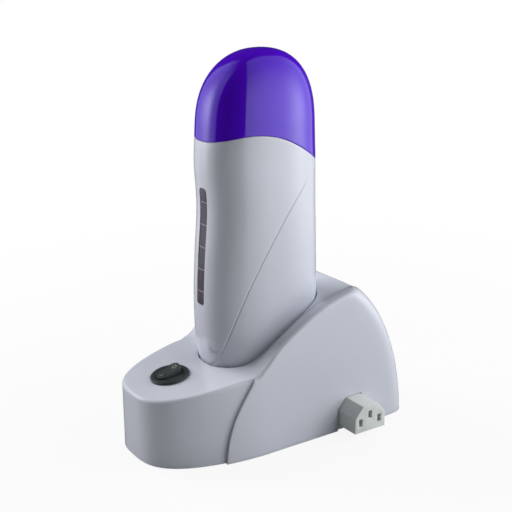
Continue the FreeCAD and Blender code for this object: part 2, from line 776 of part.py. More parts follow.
def pilot_lamp():
    """The small lamp behind the lens, a little below its middle so that it clears the well."""
    point, outward = lamp_axis()
    point = point - Z * 2.2
    body = cylinder(2.0, 4.6, point - outward * 8.4, outward)
    nose = Part.makeSphere(2.0, point - outward * 5.4)
    leads = [cylinder(0.3, 5.0, point - outward * 13.0 + side, outward)
             for side in (Vector(0, 0, 1.0), Vector(0, 0, -1.0))]
    return joined([body, nose] + leads)


def pilot_resistor():
    body = cylinder(1.3, 7.0, Vector(10.0, -15.6, 57.6), Y)
    leads = cylinder(0.3, 9.7, Vector(10.0, -17.0, 57.6), Y)
    return joined([body, leads])


collar_inset = cap_wall + 0.6
collar_foot = well_mouth - mouth_plate


def rounded_tube(half_x, half_y, radius, low, high):
    """An upright block with rounded upright edges."""
    block = box((-half_x, -half_y, low), (half_x, half_y, high))
    upright = [edge for edge in block.Edges if edge.BoundBox.ZLength > (high - low) * 0.9]
    return block.makeFillet(radius, upright)


def neck_collar():
    """The ring that ties the halves together and carries the cap, with the well's mouth plate."""
    ring = heater_form(collar_inset).cut(heater_form(collar_inset + collar_wall))
    below = box((-60, -60, 0), (60, 60, collar_foot))
    ring = ring.cut(below).cut(arch(collar_above))
    plate = heater_form(collar_inset).common(box((-60, -60, collar_foot), (60, 60, well_mouth)))
    mouth = rounded_tube(well_half_width + well_wall + fit_gap, well_half_length + well_wall + fit_gap,
                         well_corner + well_wall, collar_foot - 1, well_mouth + 1)
    return joined([ring, plate]).cut(mouth)


def cartridge_sleeve():
    """The aluminium well that heats the wax cartridge."""
    outside = rounded_tube(well_half_width + well_wall, well_half_length + well_wall,
                           well_corner + well_wall, well_floor - well_wall, well_mouth + 0.4)
    inside = rounded_tube(well_half_width, well_half_length, well_corner, well_floor, well_mouth + 5)
    sight = box((-3.0, -40, window_low + 2), (3.0, -well_half_length + 3, window_high - 4))
    return outside.cut([inside, sight])


pad_x = well_half_width + well_wall
pad_thickness = 2.4
clamp_thickness = 0.8


def heating_pad():
    """The flat mica-cased heating element on one broad side of the well."""
    return box((pad_x, -19, 68), (pad_x + pad_thickness, 19, 138))


def pad_clamp():
    """The sprung steel plate that presses the element to the well."""
    x = pad_x + pad_thickness
    plate = box((x, -17, 72), (x + clamp_thickness, 17, 134))
    ribs = [box((x + clamp_thickness - 0.1, -15, z), (x + clamp_thickness + 0.8, 15, z + 3))
            for z in (84, 101, 118)]
    return joined([plate] + ribs)


def thermostat():
    """The bimetal disc thermostat on the other broad side."""
    body = cylinder(7.8, 3.4, Vector(-pad_x, 0, 92), X * -1)
    tabs = [box((-pad_x - 3.8, -2.0, z), (-pad_x - 3.0, 2.0, z + 8)) for z in (99, 77)]
    return joined([body] + tabs)


def thermostat_bracket():
    """The plate that holds the thermostat's rim to the well."""
    plate = box((-pad_x - 1.0, -15, 82), (-pad_x, 15, 102))
    return plate.cut(cylinder(7.8 + fit_gap, 10, Vector(-pad_x + 1, 0, 92), X * -1))


def thermal_fuse():
    body = cylinder(1.9, 9.0, Vector(-pad_x - 2.1, 10, 106), Z)
    leads = cylinder(0.4, 19.0, Vector(-pad_x - 2.1, 10, 101), Z)
    return joined([body, leads])


def heater_inlet():
    """The two-pole inlet in the heater's foot that drops over the plug."""
    half_y = inlet_half_length + inlet_shell
    half_x = inlet_half_width + inlet_shell
    block = stadium(half_y, half_x, heater_foot + 0.1, inlet_roof + 2.5)
    flange = stadium(half_y + 1.8, half_x + 1.8, heater_foot + 2.7, heater_foot + 4.5)
    recess = stadium(inlet_half_length, inlet_half_width, heater_foot - 1, inlet_roof)
    holes = [cylinder(plug_pin_radius + 0.02, 30, Vector(0, sign * plug_pin_pitch / 2, 40), Z)
             for sign in (-1, 1)]
    return joined([block, flange]).cut([recess] + holes)


def heater_pins():
    return Part.makeCompound([cylinder(plug_pin_radius, inlet_roof + 6 - heater_foot - 1.6,
                                       Vector(0, sign * plug_pin_pitch / 2, heater_foot + 1.6), Z)
                              for sign in (-1, 1)])


def heater_wires():
    top = inlet_roof + 6.0
    half = plug_pin_pitch / 2
    return {
        "heater_live_wire": wire_run(
            [Vector(0, half, top + 0.1), Vector(0, half, top + 5), Vector(-pad_x - 2.1, 10, top + 11),
             Vector(-pad_x - 2.1, 10, 100.9)], 0.9, 2.0),
        "heater_neutral_wire": wire_run(
            [Vector(0, -half, top + 0.1), Vector(0, -half, top + 5), Vector(pad_x + 1.2, -6, top + 10),
             Vector(pad_x + 1.2, -6, 67.9)], 0.9, 2.0),
    }


def cap():
    """The clear dome over the roller end."""
    return dome_form(0.0).common(arch(0.0)).cut(dome_form(cap_wall))


save("base_housing", base_housing())
save("rear_cowl", rear_cowl())
save("bottom_plate", bottom_plate())
save("rubber_feet", rubber_feet())
save("bottom_screws", bottom_screws())
save("outlet_body", outlet_body())
save("outlet_sleeves", outlet_sleeves())
save("inlet_body", inlet_body())
save("inlet_pins", inlet_pins())
save("switch_frame", switch_frame())
save("switch_terminals", switch_terminals())
save("switch_rocker", switch_rocker())
save("switch_plunger", switch_plunger())
save("switch_contact", switch_contact())
save("cradle_plug", cradle_plug())
save("cradle_sleeves", cradle_sleeves())
for wire_name, wire_shape in base_wires().items():
    save(wire_name, wire_shape)
left, right = heater_shells()
save("shell_left", left)
save("shell_right", right)
save("shell_screws", shell_screws())
save("window_lens", window_lens())
save("pilot_lens", pilot_lens())
save("pilot_lamp", pilot_lamp())
save("pilot_resistor", pilot_resistor())
save("neck_collar", neck_collar())
save("cartridge_sleeve", cartridge_sleeve())
save("heating_pad", heating_pad())
save("pad_clamp", pad_clamp())
save("thermostat", thermostat())
save("thermostat_bracket", thermostat_bracket())
save("thermal_fuse", thermal_fuse())
save("heater_inlet", heater_inlet())
save("heater_pins", heater_pins())
for wire_name, wire_shape in heater_wires().items():
    save(wire_name, wire_shape)
save("cap", cap())
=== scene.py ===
"""Roll on wax heater: smooth shells, finishes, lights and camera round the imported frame.

Lengths in the forms below are millimetres in the part's frame: +Z up, -Y the switch end, +X the
outlet's side. Meshes are scaled to metres when they are made.
"""

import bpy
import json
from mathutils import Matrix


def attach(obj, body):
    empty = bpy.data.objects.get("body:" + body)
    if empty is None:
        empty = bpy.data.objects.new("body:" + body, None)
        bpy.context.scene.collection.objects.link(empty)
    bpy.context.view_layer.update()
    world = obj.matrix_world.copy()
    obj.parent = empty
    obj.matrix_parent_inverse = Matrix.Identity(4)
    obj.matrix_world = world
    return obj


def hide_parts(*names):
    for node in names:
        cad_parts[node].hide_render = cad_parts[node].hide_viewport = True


bl_info = {
    "name": "Roll on wax heater",
    "version": (1, 0, 0),
    "blender": (4, 5, 0),
    "location": "View3D > Sidebar > Wax heater",
    "description": "Builds the visible pieces of a roll on wax heater and its mains base",
    "category": "Object",
}

import json
from math import acos, asin, atan, atan2, copysign, cos, degrees, exp, pi, radians, sin, sqrt

import bmesh
import bpy
from mathutils import Matrix, Vector

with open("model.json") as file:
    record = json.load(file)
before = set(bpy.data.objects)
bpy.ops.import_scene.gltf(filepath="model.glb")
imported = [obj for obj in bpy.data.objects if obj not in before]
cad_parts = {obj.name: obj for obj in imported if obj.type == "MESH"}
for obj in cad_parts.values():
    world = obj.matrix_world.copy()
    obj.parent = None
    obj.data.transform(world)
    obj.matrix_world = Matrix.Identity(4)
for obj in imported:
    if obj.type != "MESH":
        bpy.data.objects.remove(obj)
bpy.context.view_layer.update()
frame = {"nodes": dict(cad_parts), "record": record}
MM = 0.001
FULL_TURN = 2 * pi

# ---- forms of the heater
SECTION_POWER = 2.5
HALF_WIDTH = 25.0
FOOT = 33.0
DOME_START = 185.0
TOP = 228.5
DOME_POWER = 2.27
DOME_LEAN = 3.9
CAP_WALL = 1.8
SHELL_WALL = 2.2
SHELL_FLOOR = 2.6
SEAT_GAP = 0.2
HEIGHTS = (33.0, 38.0, 47.0, 60.0, 85.0, 110.0, 140.0, 165.0, 176.0, DOME_START)
FRONTS = tuple(zip(HEIGHTS, (29.5, 32.6, 35.3, 37.4, 37.9, 36.6, 34.2, 35.3, 34.7, 34.1)))
REARS = tuple(zip(HEIGHTS, (32.0, 35.0, 37.8, 39.4, 39.4, 39.0, 38.3, 38.0, 37.6, 37.3)))
WIDTHS = tuple(zip(HEIGHTS, (0.84, 0.915, 0.965, 0.995, 1.0, 1.0, 1.0, 1.0, 1.0, 1.0)))
PARTING = ((-60, 160.0), (-38, 177.4), (-26, 181.7), (-14, 183.2), (0, 181.2), (14, 175.4),
           (38, 161.0), (60, 147.5))
GROOVE = ((-38.0, 34.0), (-35.0, 47.0), (-31.5, 62.0), (-25.5, 79.6), (-18.8, 94.9), (-10.0, 111.0),
          (-1.0, 124.9), (10.0, 140.2), (27.0, 158.0), (45.0, 173.0))
WINDOW_HALF = 3.8
WINDOW_CORNER = 2.2
LAMP_X = 10.5
LAMP_Z = 60.0
LAMP_RADIUS = 3.4
LAMP_GAP = 0.06
WINDOW_LOW = 83.5
WINDOW_HIGH = 152.5
INLET_HALF_Y = 11.15
INLET_HALF_X = 6.75

# ---- forms of the base
BASE_FRONT = 85.0
BASE_REAR = 87.3
BASE_HALF_WIDTH = 43.0
BASE_DRAFT = 3.0
BASE_FORM_HEIGHT = 97.0
BACK_TURN_Y = 25.1
NOSE_LENGTH = 65.0
NOSE_Y = NOSE_LENGTH - BASE_FRONT
CORNER_DEPTH = 22.0
COWL_WALL = 1.8
HOUSING_WALL = 2.2
CREST_ROUND = 2.4
DECK_ROUND = 2.0
SWITCH_Y = -59.5
DECK_HEIGHT = 44.0
DECK_SLOPE = 0.148
WELL_GAP = 0.5
WELL_FLOOR = 32.4
WELL_TOP = 84.0
WELL_LIP = 0.8
PLUG_HALF_Y = 9.15
PLUG_HALF_X = 4.75
SWITCH_BORE = 10.15
VALLEY_HALF = 22.0
CREST_HALF = 36.0
ARC = ((-20.0, -47.2), (0.0, -46.4), (13.0, -44.6), (25.5, -40.6), (36.0, -35.0), (43.6, -30.0),
       (50.5, -25.6), (58.0, -22.0), (70.0, -19.5), (110.0, -18.0))


def blend(knots, value):
    """A smooth line through (position, value) knots, level beyond its ends."""
    last = len(knots) - 1
    if value <= knots[0][0]:
        return knots[0][1]
    if value >= knots[last][0]:
        return knots[last][1]
    index = max(i for i in range(last) if knots[i][0] <= value)

    def slope(i):
        before = max(i - 1, 0)
        after = min(i + 1, last)
        return (knots[after][1] - knots[before][1]) / (knots[after][0] - knots[before][0])

    x0, y0 = knots[index]
    x1, y1 = knots[index + 1]
    width = x1 - x0
    t = (value - x0) / width
    return (y0 * (2 * t ** 3 - 3 * t ** 2 + 1) + slope(index) * width * (t ** 3 - 2 * t ** 2 + t)
            + y1 * (3 * t ** 2 - 2 * t ** 3) + slope(index + 1) * width * (t ** 3 - t ** 2))


def smooth(value):
    value = min(max(value, 0.0), 1.0)
    return value * value * (3 - 2 * value)


def mix(a, b, share):
    return a + (b - a) * share


def signed_power(value, power):
    return copysign(abs(value) ** power, value)


def oval(turn, half_x, front, rear, shift=0.0):
    """A point of the heater's oval section; turn is -90 degrees at the front, 90 at the rear."""
    power = 2.0 / SECTION_POWER
    half_y = rear if sin(turn) > 0 else front
    return (half_x * signed_power(cos(turn), power),
            half_y * signed_power(sin(turn), power) + shift)


def body_point(height, turn, inset=0.0):
    """A point of the heater's body, drawn in by inset."""
    x, y = oval(turn, HALF_WIDTH * blend(WIDTHS, height) - inset, blend(FRONTS, height) - inset,
                blend(REARS, height) - inset)
    return Vector((x, y, height))


def front_y(x, height, inset=0.0):
    """Where the body's front lies at a place across it."""
    share = abs(x) / (HALF_WIDTH - inset)
    return -(blend(FRONTS, height) - inset) * (1 - share ** SECTION_POWER) ** (1 / SECTION_POWER)


def parting_height(turn, inset=0.0):
    """Height of the line where cap and body meet, over a place on the section."""
    height = 170.0
    for _ in range(3):
        height = blend(PARTING, body_point(height, turn, inset).y)
    return height


def end_slope(knots):
    return (knots[-1][1] - knots[-2][1]) / (knots[-1][0] - knots[-2][0])


def dome_point(rise, turn, inset=0.0):
    """A point of the cap's dome; rise is 0 at its start and 90 degrees at its tip."""
    share = sin(rise) ** (2 / DOME_POWER)
    scale = max(cos(rise), 0.0) ** (2 / DOME_POWER)
    ease = (TOP - DOME_START) * share * (1 - share) ** 3
    front = FRONTS[-1][1] + ease * end_slope(FRONTS) - inset
    rear = REARS[-1][1] + ease * end_slope(REARS) - inset
    x, y = oval(turn, (HALF_WIDTH - inset) * scale, front * scale, rear * scale, DOME_LEAN * share ** 2)
    return Vector((x, y, DOME_START + (TOP - inset - DOME_START) * share))


def deck_line(y):
    return DECK_HEIGHT + DECK_SLOPE * (y - SWITCH_Y)


VALLEY = (*((y, deck_line(y)) for y in (-140.0, -60.0, -36.0, -23.0)),
          (-12.0, 54.6), (0.0, 62.2), (12.0, 69.8), (22.0, 75.3),
          (30.0, 78.4), (40.0, 81.3), (53.0, 83.6), (70.0, 85.4), (120.0, 90.0))
CREST = ((-140.0, 0.0), (-40.0, 0.0), (-25.5, 0.0), (-21.5, 1.4), (-17.0, 4.2), (-12.0, 6.3),
         (-5.0, 7.3), (3.0, 7.2), (12.5, 6.6), (22.6, 5.6), (32.0, 5.0), (53.0, 4.4), (120.0, 4.4))


def top_height(x, y):
    """Height of the base's upper surface: deck, ramp, and the crests beside the ramp."""
    share = smooth((abs(x) - VALLEY_HALF) / (CREST_HALF - VALLEY_HALF))
    return blend(VALLEY, y) + share * blend(CREST, y)


def rim(height, inset, place):
    """The base's plan at a height. place runs 0 front, 1 nose's end, 2 rear corner, 3 rear."""
    half_x = BASE_HALF_WIDTH - BASE_DRAFT * height / BASE_FORM_HEIGHT - inset
    closing = sqrt(max(1 - (height / BASE_FORM_HEIGHT) ** 2, 0.0))
    rear = BACK_TURN_Y + (BASE_REAR - BACK_TURN_Y) * closing - inset
    front = -BASE_FRONT - COWL_WALL + inset
    corner_y = rear - CORNER_DEPTH
    if place <= 1:
        angle = pi / 2 * (1 - place)
        return (half_x * max(cos(angle), 0.0) ** (2 / 3.0),
                NOSE_Y - (NOSE_Y - front) * sin(angle) ** (2 / 1.8))
    if place <= 2:
        return half_x, mix(NOSE_Y, corner_y, place - 1)
    angle = pi / 2 * (place - 2)
    return (half_x * max(cos(angle), 0.0) ** 0.4, corner_y + CORNER_DEPTH * sin(angle) ** 0.4)


def rim_point(height, inset, place):
    return Vector((*rim(height, inset, place), height))


def place_at(y, inset):
    """The place on the plan's side that lies at this y."""
    if y >= NOSE_Y:
        return 1 + (y - NOSE_Y) / (BASE_REAR - CORNER_DEPTH - NOSE_Y)
    front = -BASE_FRONT - COWL_WALL + inset
    return 1 - asin(min(((NOSE_Y - y) / (NOSE_Y - front)) ** 0.9, 1.0)) / (pi / 2)


def on_top(place_for, inset, drop, start=60.0):
    """The point of the plan, at an inset, that lies drop below the upper surface.

    place_for gives the place on the plan for a height, where the search for the height begins.
    """
    height = start
    for _ in range(40):
        x, y = rim(height, inset, place_for(height))
        height = min(0.5 * (height + top_height(x, y) - drop), BASE_FORM_HEIGHT - 1.0)
    return rim_point(height, inset, place_for(height))


def mirrored(columns):
    """The other half's columns, in the order that goes on round the plan."""
    return [[Vector((-p.x, p.y, p.z)) for p in column] for column in reversed(columns)]


def circle(radius, count):
    """Points of a level circle round the origin."""
    turns = [FULL_TURN * index / count for index in range(count)]
    return [Vector((radius * cos(turn), radius * sin(turn), 0)) for turn in turns]


# ---- mesh tools
def settle(made, settings):
    """Gives these values to the attributes of a new node, modifier or object."""
    for name, value in settings.items():
        setattr(made, name, value)
    return made


def placed(name, data):
    """A new object for this data, linked to the scene."""
    made = bpy.data.objects.new(name, data)
    bpy.context.scene.collection.objects.link(made)
    return made


def new_piece(name, bm):
    """An object at the origin from a bmesh in millimetres, smooth with sharp edges kept."""
    bmesh.ops.scale(bm, vec=(MM, MM, MM), verts=bm.verts)
    mesh = bpy.data.meshes.new(name)
    bm.to_mesh(mesh)
    bm.free()
    return shade(placed(name, mesh))


def shade(piece, sharp=35.0):
    mesh = piece.data
    mesh.polygons.foreach_set("use_smooth", [True] * len(mesh.polygons))
    mesh.set_sharp_from_angle(angle=radians(sharp))
    mesh.update()
    return piece


def walled(outer, inner, around, keep=None, pole=False):
    """A closed wall between two grids of points, [column][row], left out where keep says no."""
    columns, rows = len(outer), len(outer[0])
    spans = columns if around else columns - 1
    kept = {(c, r) for c in range(spans) for r in range(rows - 1) if keep is None or keep(c, r)}
    bm = bmesh.new()
    grids = [[[bm.verts.new(point) for point in column] for column in grid] for grid in (outer, inner)]

    def corner(grid, c, r):
        return grids[grid][c % columns][r]

    for c, r in sorted(kept):
        ring = ((c, r), (c + 1, r), (c + 1, r + 1), (c, r + 1))
        bm.faces.new([corner(0, *at) for at in ring])
        bm.faces.new([corner(1, *at) for at in reversed(ring)])
        beside = ((c, r - 1), (c + 1, r), (c, r + 1), (c - 1, r))
        for side, (near, across) in enumerate(beside):
            if around:
                near %= columns
            if (near, across) in kept or (pole and across == rows - 1):
                continue
            a, b = ring[side], ring[(side + 1) % 4]
            bm.faces.new((corner(0, *b), corner(0, *a), corner(1, *a), corner(1, *b)))
    bmesh.ops.remove_doubles(bm, verts=bm.verts, dist=1e-4)
    bmesh.ops.dissolve_degenerate(bm, edges=bm.edges, dist=1e-5)
    bmesh.ops.recalc_face_normals(bm, faces=bm.faces)
    return bm


def prism(name, points, depth):
    """A temporary straight block from a ring of points moved along depth."""
    bm = bmesh.new()
    low = [bm.verts.new(p) for p in points]
    high = [bm.verts.new(Vector(p) + Vector(depth)) for p in points]
    count = len(points)
    bm.faces.new(low)
    bm.faces.new(list(reversed(high)))
    for i in range(count):
        bm.faces.new((low[i], high[i], high[(i + 1) % count], low[(i + 1) % count]))
    bmesh.ops.recalc_face_normals(bm, faces=bm.faces)
    return new_piece(name, bm)


def baked(piece):
    """The object with its modifiers made real in its mesh."""
    graph = bpy.context.evaluated_depsgraph_get()
    mesh = bpy.data.meshes.new_from_object(piece.evaluated_get(graph))
    piece.modifiers.clear()
    old = piece.data
    piece.data = mesh
    bpy.data.meshes.remove(old)
    return piece


def modify(piece, kind, **settings):
    return settle(piece.modifiers.new(kind.lower(), kind), settings)


def cut(piece, cutters):
    """Takes the cutters out of a closed piece and removes them."""
    for cutter in cutters:
        modify(piece, "BOOLEAN", operation="DIFFERENCE", solver="EXACT", object=cutter)
    baked(piece)
    for cutter in cutters:
        bpy.data.objects.remove(cutter)
    return shade(piece)


def dress(piece, slot, body, *nodes):
    """Gives a new piece its finish and body, in place of CAD nodes."""
    piece.data.materials.clear()
    piece.data.materials.append(finish(slot))
    if nodes:
        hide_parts(*nodes)
    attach(piece, body)


# ---- node trees and materials
def feed(tree, made, inputs):
    """Sets a node's inputs, by name or place, to numbers or to the outputs that feed them."""
    for key, value in inputs.items():
        if isinstance(value, bpy.types.NodeSocket):
            tree.links.new(value, made.inputs[key])
        else:
            made.inputs[key].default_value = value


def node(tree, kind, inputs=None, **properties):
    made = settle(tree.nodes.new(kind), properties)
    feed(tree, made, inputs or {})
    return made


def shader(name):
    """A new node material, its tree and its main shader."""
    material = bpy.data.materials.new(name)
    material.use_nodes = True
    return material, material.node_tree, material.node_tree.nodes["Principled BSDF"]


def grain(tree, scale, detail=2.0, stretch=(1.0, 1.0, 1.0)):
    """Noise on the piece's own coordinates."""
    coords = node(tree, "ShaderNodeTexCoord").outputs["Object"]
    mapping = node(tree, "ShaderNodeMapping", {"Vector": coords, "Scale": stretch})
    inputs = {"Vector": mapping.outputs["Vector"], "Scale": scale, "Detail": detail}
    return node(tree, "ShaderNodeTexNoise", inputs).outputs["Fac"]


def remapped(tree, value, low, high):
    """The middle of the value's range spread between low and high."""
    inputs = {"Value": value, "From Min": 0.3, "From Max": 0.7, "To Min": low, "To Max": high}
    return node(tree, "ShaderNodeMapRange", inputs).outputs["Result"]


def tinted(tree, colour, scale, spread):
    """A colour that drifts slightly over the surface."""
    ramp = node(tree, "ShaderNodeValToRGB", {"Fac": grain(tree, scale)})
    for stop, position, level in zip(ramp.color_ramp.elements, (0.3, 0.7), (1 - spread, 1 + spread)):
        stop.position = position
        stop.color = [min(c * level, 1.0) for c in colour[:3]] + [1.0]
    return ramp.outputs["Color"]


def bumped(tree, value, depth):
    bump = node(tree, "ShaderNodeBump", {"Strength": 1.0, "Distance": depth, "Height": value})
    return bump.outputs["Normal"]


def moulded(name, colour, rough, texture_scale, texture_depth, drift=0.015, coat=0.0):
    """Injection-moulded plastic: even colour, fine surface texture, slightly uneven gloss."""
    material, tree, principled = shader(name)
    feed(tree, principled, {
        "Base Color": tinted(tree, colour, 35.0, drift),
        "Coat Weight": coat,
        "Coat Roughness": 0.04,
        "Roughness": remapped(tree, grain(tree, 90.0, 4.0), rough * 0.85, rough * 1.2),
        "Normal": bumped(tree, grain(tree, texture_scale, 3.0), texture_depth),
    })
    return material


def glowing_through(material):
    """Lets light spread inside a translucent plastic."""
    tree = material.node_tree
    feed(tree, tree.nodes["Principled BSDF"], {
        "Subsurface Weight": 0.4,
        "Subsurface Radius": (0.5, 0.2, 0.6),
        "Subsurface Scale": 10 * MM,
    })
    return material


def metal(name, colour, rough, stretch, depth):
    """Drawn or turned metal with fine lines along one way."""
    material, tree, principled = shader(name)
    lines = grain(tree, 900.0, 3.0, stretch)
    feed(tree, principled, {
        "Base Color": tinted(tree, colour, 60.0, 0.04),
        "Metallic": 1.0,
        "Roughness": remapped(tree, lines, rough * 0.8, rough * 1.3),
        "Normal": bumped(tree, lines, depth),
    })
    return material


def clear(name, colour, rough, transmission, depth):
    """Tinted see-through moulding."""
    material, tree, principled = shader(name)
    feed(tree, principled, {
        "Base Color": tinted(tree, colour, 80.0, 0.05),
        "Transmission Weight": transmission,
        "IOR": 1.49,
        "Roughness": remapped(tree, grain(tree, 120.0), rough * 0.8, rough * 1.3),
        "Normal": bumped(tree, grain(tree, 500.0), depth),
    })
    return material


def make_finishes(looks):
    """One material for each slot of the record, and the prints."""
    return {
        "white_plastic": moulded("glossy_white", looks.white, looks.white_roughness, 260.0, 0.000004,
                                 0.012, 0.25),
        "white_inner": moulded("satin_white", looks.white, 0.42, 1800.0, 0.00001),
        "purple_plastic": glowing_through(moulded("glossy_violet", looks.violet, looks.cap_roughness, 200.0,
                                                  0.000003, 0.05, 0.6)),
        "black_plastic": moulded("satin_black", looks.black, 0.38, 1500.0, 0.00001, 0.08),
        "smoked_plastic": clear("smoked_window", looks.window, 0.14, 0.1, 0.000005),
        "amber_plastic": clear("frosted_lens", looks.lens, 0.35, 0.08, 0.00001),
        "grey_plastic": moulded("insulating_grey", looks.outlet, 0.34, 1400.0, 0.000008, 0.03),
        "steel": metal("zinc_plate", (0.62, 0.62, 0.64), 0.28, (1.0, 1.0, 8.0), 0.000004),
        "brass": metal("contact_brass", (0.78, 0.60, 0.30), 0.24, (1.0, 6.0, 1.0), 0.000004),
        "aluminium": metal("drawn_aluminium", (0.80, 0.81, 0.83), 0.3, (6.0, 6.0, 0.4), 0.000006),
        "rubber": moulded("soft_rubber", (0.045, 0.045, 0.05), 0.7, 2200.0, 0.00002, 0.12),
        "mica": moulded("mica_face", (0.50, 0.40, 0.24), 0.4, 700.0, 0.00002, 0.25),
        "brown_wire": moulded("brown_sleeve", (0.20, 0.07, 0.02), 0.4, 900.0, 0.00001, 0.1),
        "blue_wire": moulded("blue_sleeve", (0.02, 0.10, 0.40), 0.4, 900.0, 0.00001, 0.1),
        "green_wire": moulded("green_sleeve", (0.10, 0.32, 0.05), 0.4, 900.0, 0.00001, 0.1),
        "mark": moulded("pale_print", looks.mark, 0.45, 2500.0, 0.000004, 0.03),
        "tick": moulded("dark_print", (0.26, 0.235, 0.28), 0.45, 2500.0, 0.000004, 0.03),
    }


FINISHES = {}


def finish(slot):
    """The material of a slot, made once from the current settings."""
    if not FINISHES:
        FINISHES.update(make_finishes(bpy.context.scene.wax_looks))
    return FINISHES[slot]


# ---- settings
def colour_setting(name, description, default):
    return bpy.props.FloatVectorProperty(name=name, description=description, default=default,
                                         subtype="COLOR", min=0.0, max=1.0)


def share_setting(name, description, default):
    return bpy.props.FloatProperty(name=name, description=description, default=default,
                                   min=0.0, max=1.0, subtype="FACTOR")


def length_setting(name, description, default, low, high):
    """A length with its default and limits given in millimetres."""
    return bpy.props.FloatProperty(name=name, description=description, default=default * MM,
                                   min=low * MM, max=high * MM, unit="LENGTH", precision=5)


class WaxLooks(bpy.types.PropertyGroup):
    """Colours and gloss."""

    white: colour_setting("White", "Moulded housing and heater body", (0.585, 0.608, 0.684))
    violet: colour_setting("Violet", "Cap", (0.082, 0.0023, 0.61))
    black: colour_setting("Black", "Switch", (0.030, 0.037, 0.037))
    window: colour_setting("Window", "Smoked strip", (0.088, 0.073, 0.103))
    lens: colour_setting("Lens", "Pilot lens", (0.66, 0.68, 0.76))
    outlet: colour_setting("Outlet", "Insulated connector bodies", (0.64, 0.68, 0.655))
    mark: colour_setting("Mark", "Printed switch marks", (0.24, 0.24, 0.23))
    white_roughness: share_setting("White roughness", "Gloss of the white mouldings", 0.16)
    cap_roughness: share_setting("Cap roughness", "Gloss of the cap", 0.06)


class WaxSizes(bpy.types.PropertyGroup):
    """Sizes of the fine detail."""

    groove_width: length_setting("Groove width", "Sweeping line on the body", 1.1, 0.2, 3.0)
    groove_depth: length_setting("Groove depth", "Sweeping line on the body", 0.3, 0.0, 1.5)
    tick_count: bpy.props.IntProperty(
        name="Level marks", description="Marks across the window strip", default=5, min=2, max=12)
    tick_pitch: length_setting("Mark spacing", "From one level mark to the next", 13.1, 2.0, 20.0)
    tick_length: length_setting("Mark length", "Length of a level mark", 6.4, 1.0, 7.4)


# ---- heater pieces
CAP_COLUMNS = 112
EDGE_STEPS = ((0.25, 0.0), (0.14, 0.035), (0.05, 0.11), (0.0, 0.25))


def cap_mesh():
    """Outer and inner dome, with an eased rim along the parting line."""
    outer, inner = [], []
    for index in range(CAP_COLUMNS):
        turn = FULL_TURN * index / CAP_COLUMNS
        low = parting_height(turn)
        outside, inside = [], []
        for up, inset in reversed(EDGE_STEPS):
            outside.append(body_point(low + up, turn, inset))
            inside.append(body_point(low + up * 0.5, turn, CAP_WALL))
        for row in range(1, 13):
            height = mix(low + EDGE_STEPS[0][0], DOME_START, row / 12)
            outside.append(body_point(height, turn))
            inside.append(body_point(height, turn, CAP_WALL))
        for row in range(1, 33):
            rise = pi / 2 * row / 32
            outside.append(dome_point(rise, turn))
            inside.append(dome_point(rise, turn, CAP_WALL))
        outer.append(outside)
        inner.append(inside)
    return walled(outer, inner, True, pole=True)


SLOT_COLUMNS = 8
BODY_COLUMNS = 58
GROOVE_ROWS = (-1.6, -1.0, -0.75, -0.5, -0.25, 0.0, 0.25, 0.5, 0.75, 1.0, 1.6)
FOOT_ROUND = 1.2


def shell_turns():
    """Section places of one half, from the front line round to the rear line."""
    turns = []
    for index in range(SLOT_COLUMNS + 1):
        x = WINDOW_HALF * sin(pi / 2 * index / SLOT_COLUMNS)
        turns.append(-acos((x / HALF_WIDTH) ** (SECTION_POWER / 2)))
    first = turns[-1]
    turns += [mix(first, pi / 2, (index + 1) / BODY_COLUMNS) for index in range(BODY_COLUMNS)]
    return turns


def groove_slant(y):
    """How much longer the groove is than its level run at a place."""
    steep = blend(GROOVE, y + 0.5) - blend(GROOVE, y - 0.5)
    return sqrt(1 + steep * steep)


def groove_centre(turn):
    """Height of the groove over a place, and how much it slants there."""
    height = 120.0
    for _ in range(4):
        y = body_point(height, turn).y
        height = blend(GROOVE, y)
    return height, groove_slant(y)


def groove_inset(point, sizes):
    """How far the surface is drawn in at a point by the groove."""
    away = abs(point.z - blend(GROOVE, point.y)) / groove_slant(point.y) / (sizes.groove_width / MM / 2)
    if away >= 1.0:
        return 0.0
    fade = smooth((abs(point.x) - 4.0) / 2.5)
    return sizes.groove_depth / MM * fade * (0.5 + 0.5 * cos(pi * away))


def stadium_point(turn, half_y, half_x, height):
    """A point on a round-ended slot's outline in the same direction round as turn."""
    angle = atan2(sin(turn) * half_y, cos(turn) * half_x)
    reach = half_y - half_x
    dx, dy = cos(angle), sin(angle)
    if abs(dx) > 1e-9 and abs(dy / dx) * half_x <= reach:
        return Vector((half_x * copysign(1, dx), dy / abs(dx) * half_x, height))
    centre = copysign(reach, dy)
    along = dy * centre
    distance = along + sqrt(max(along * along - centre * centre + half_x * half_x, 0.0))
    return Vector((dx * distance, dy * distance, height))


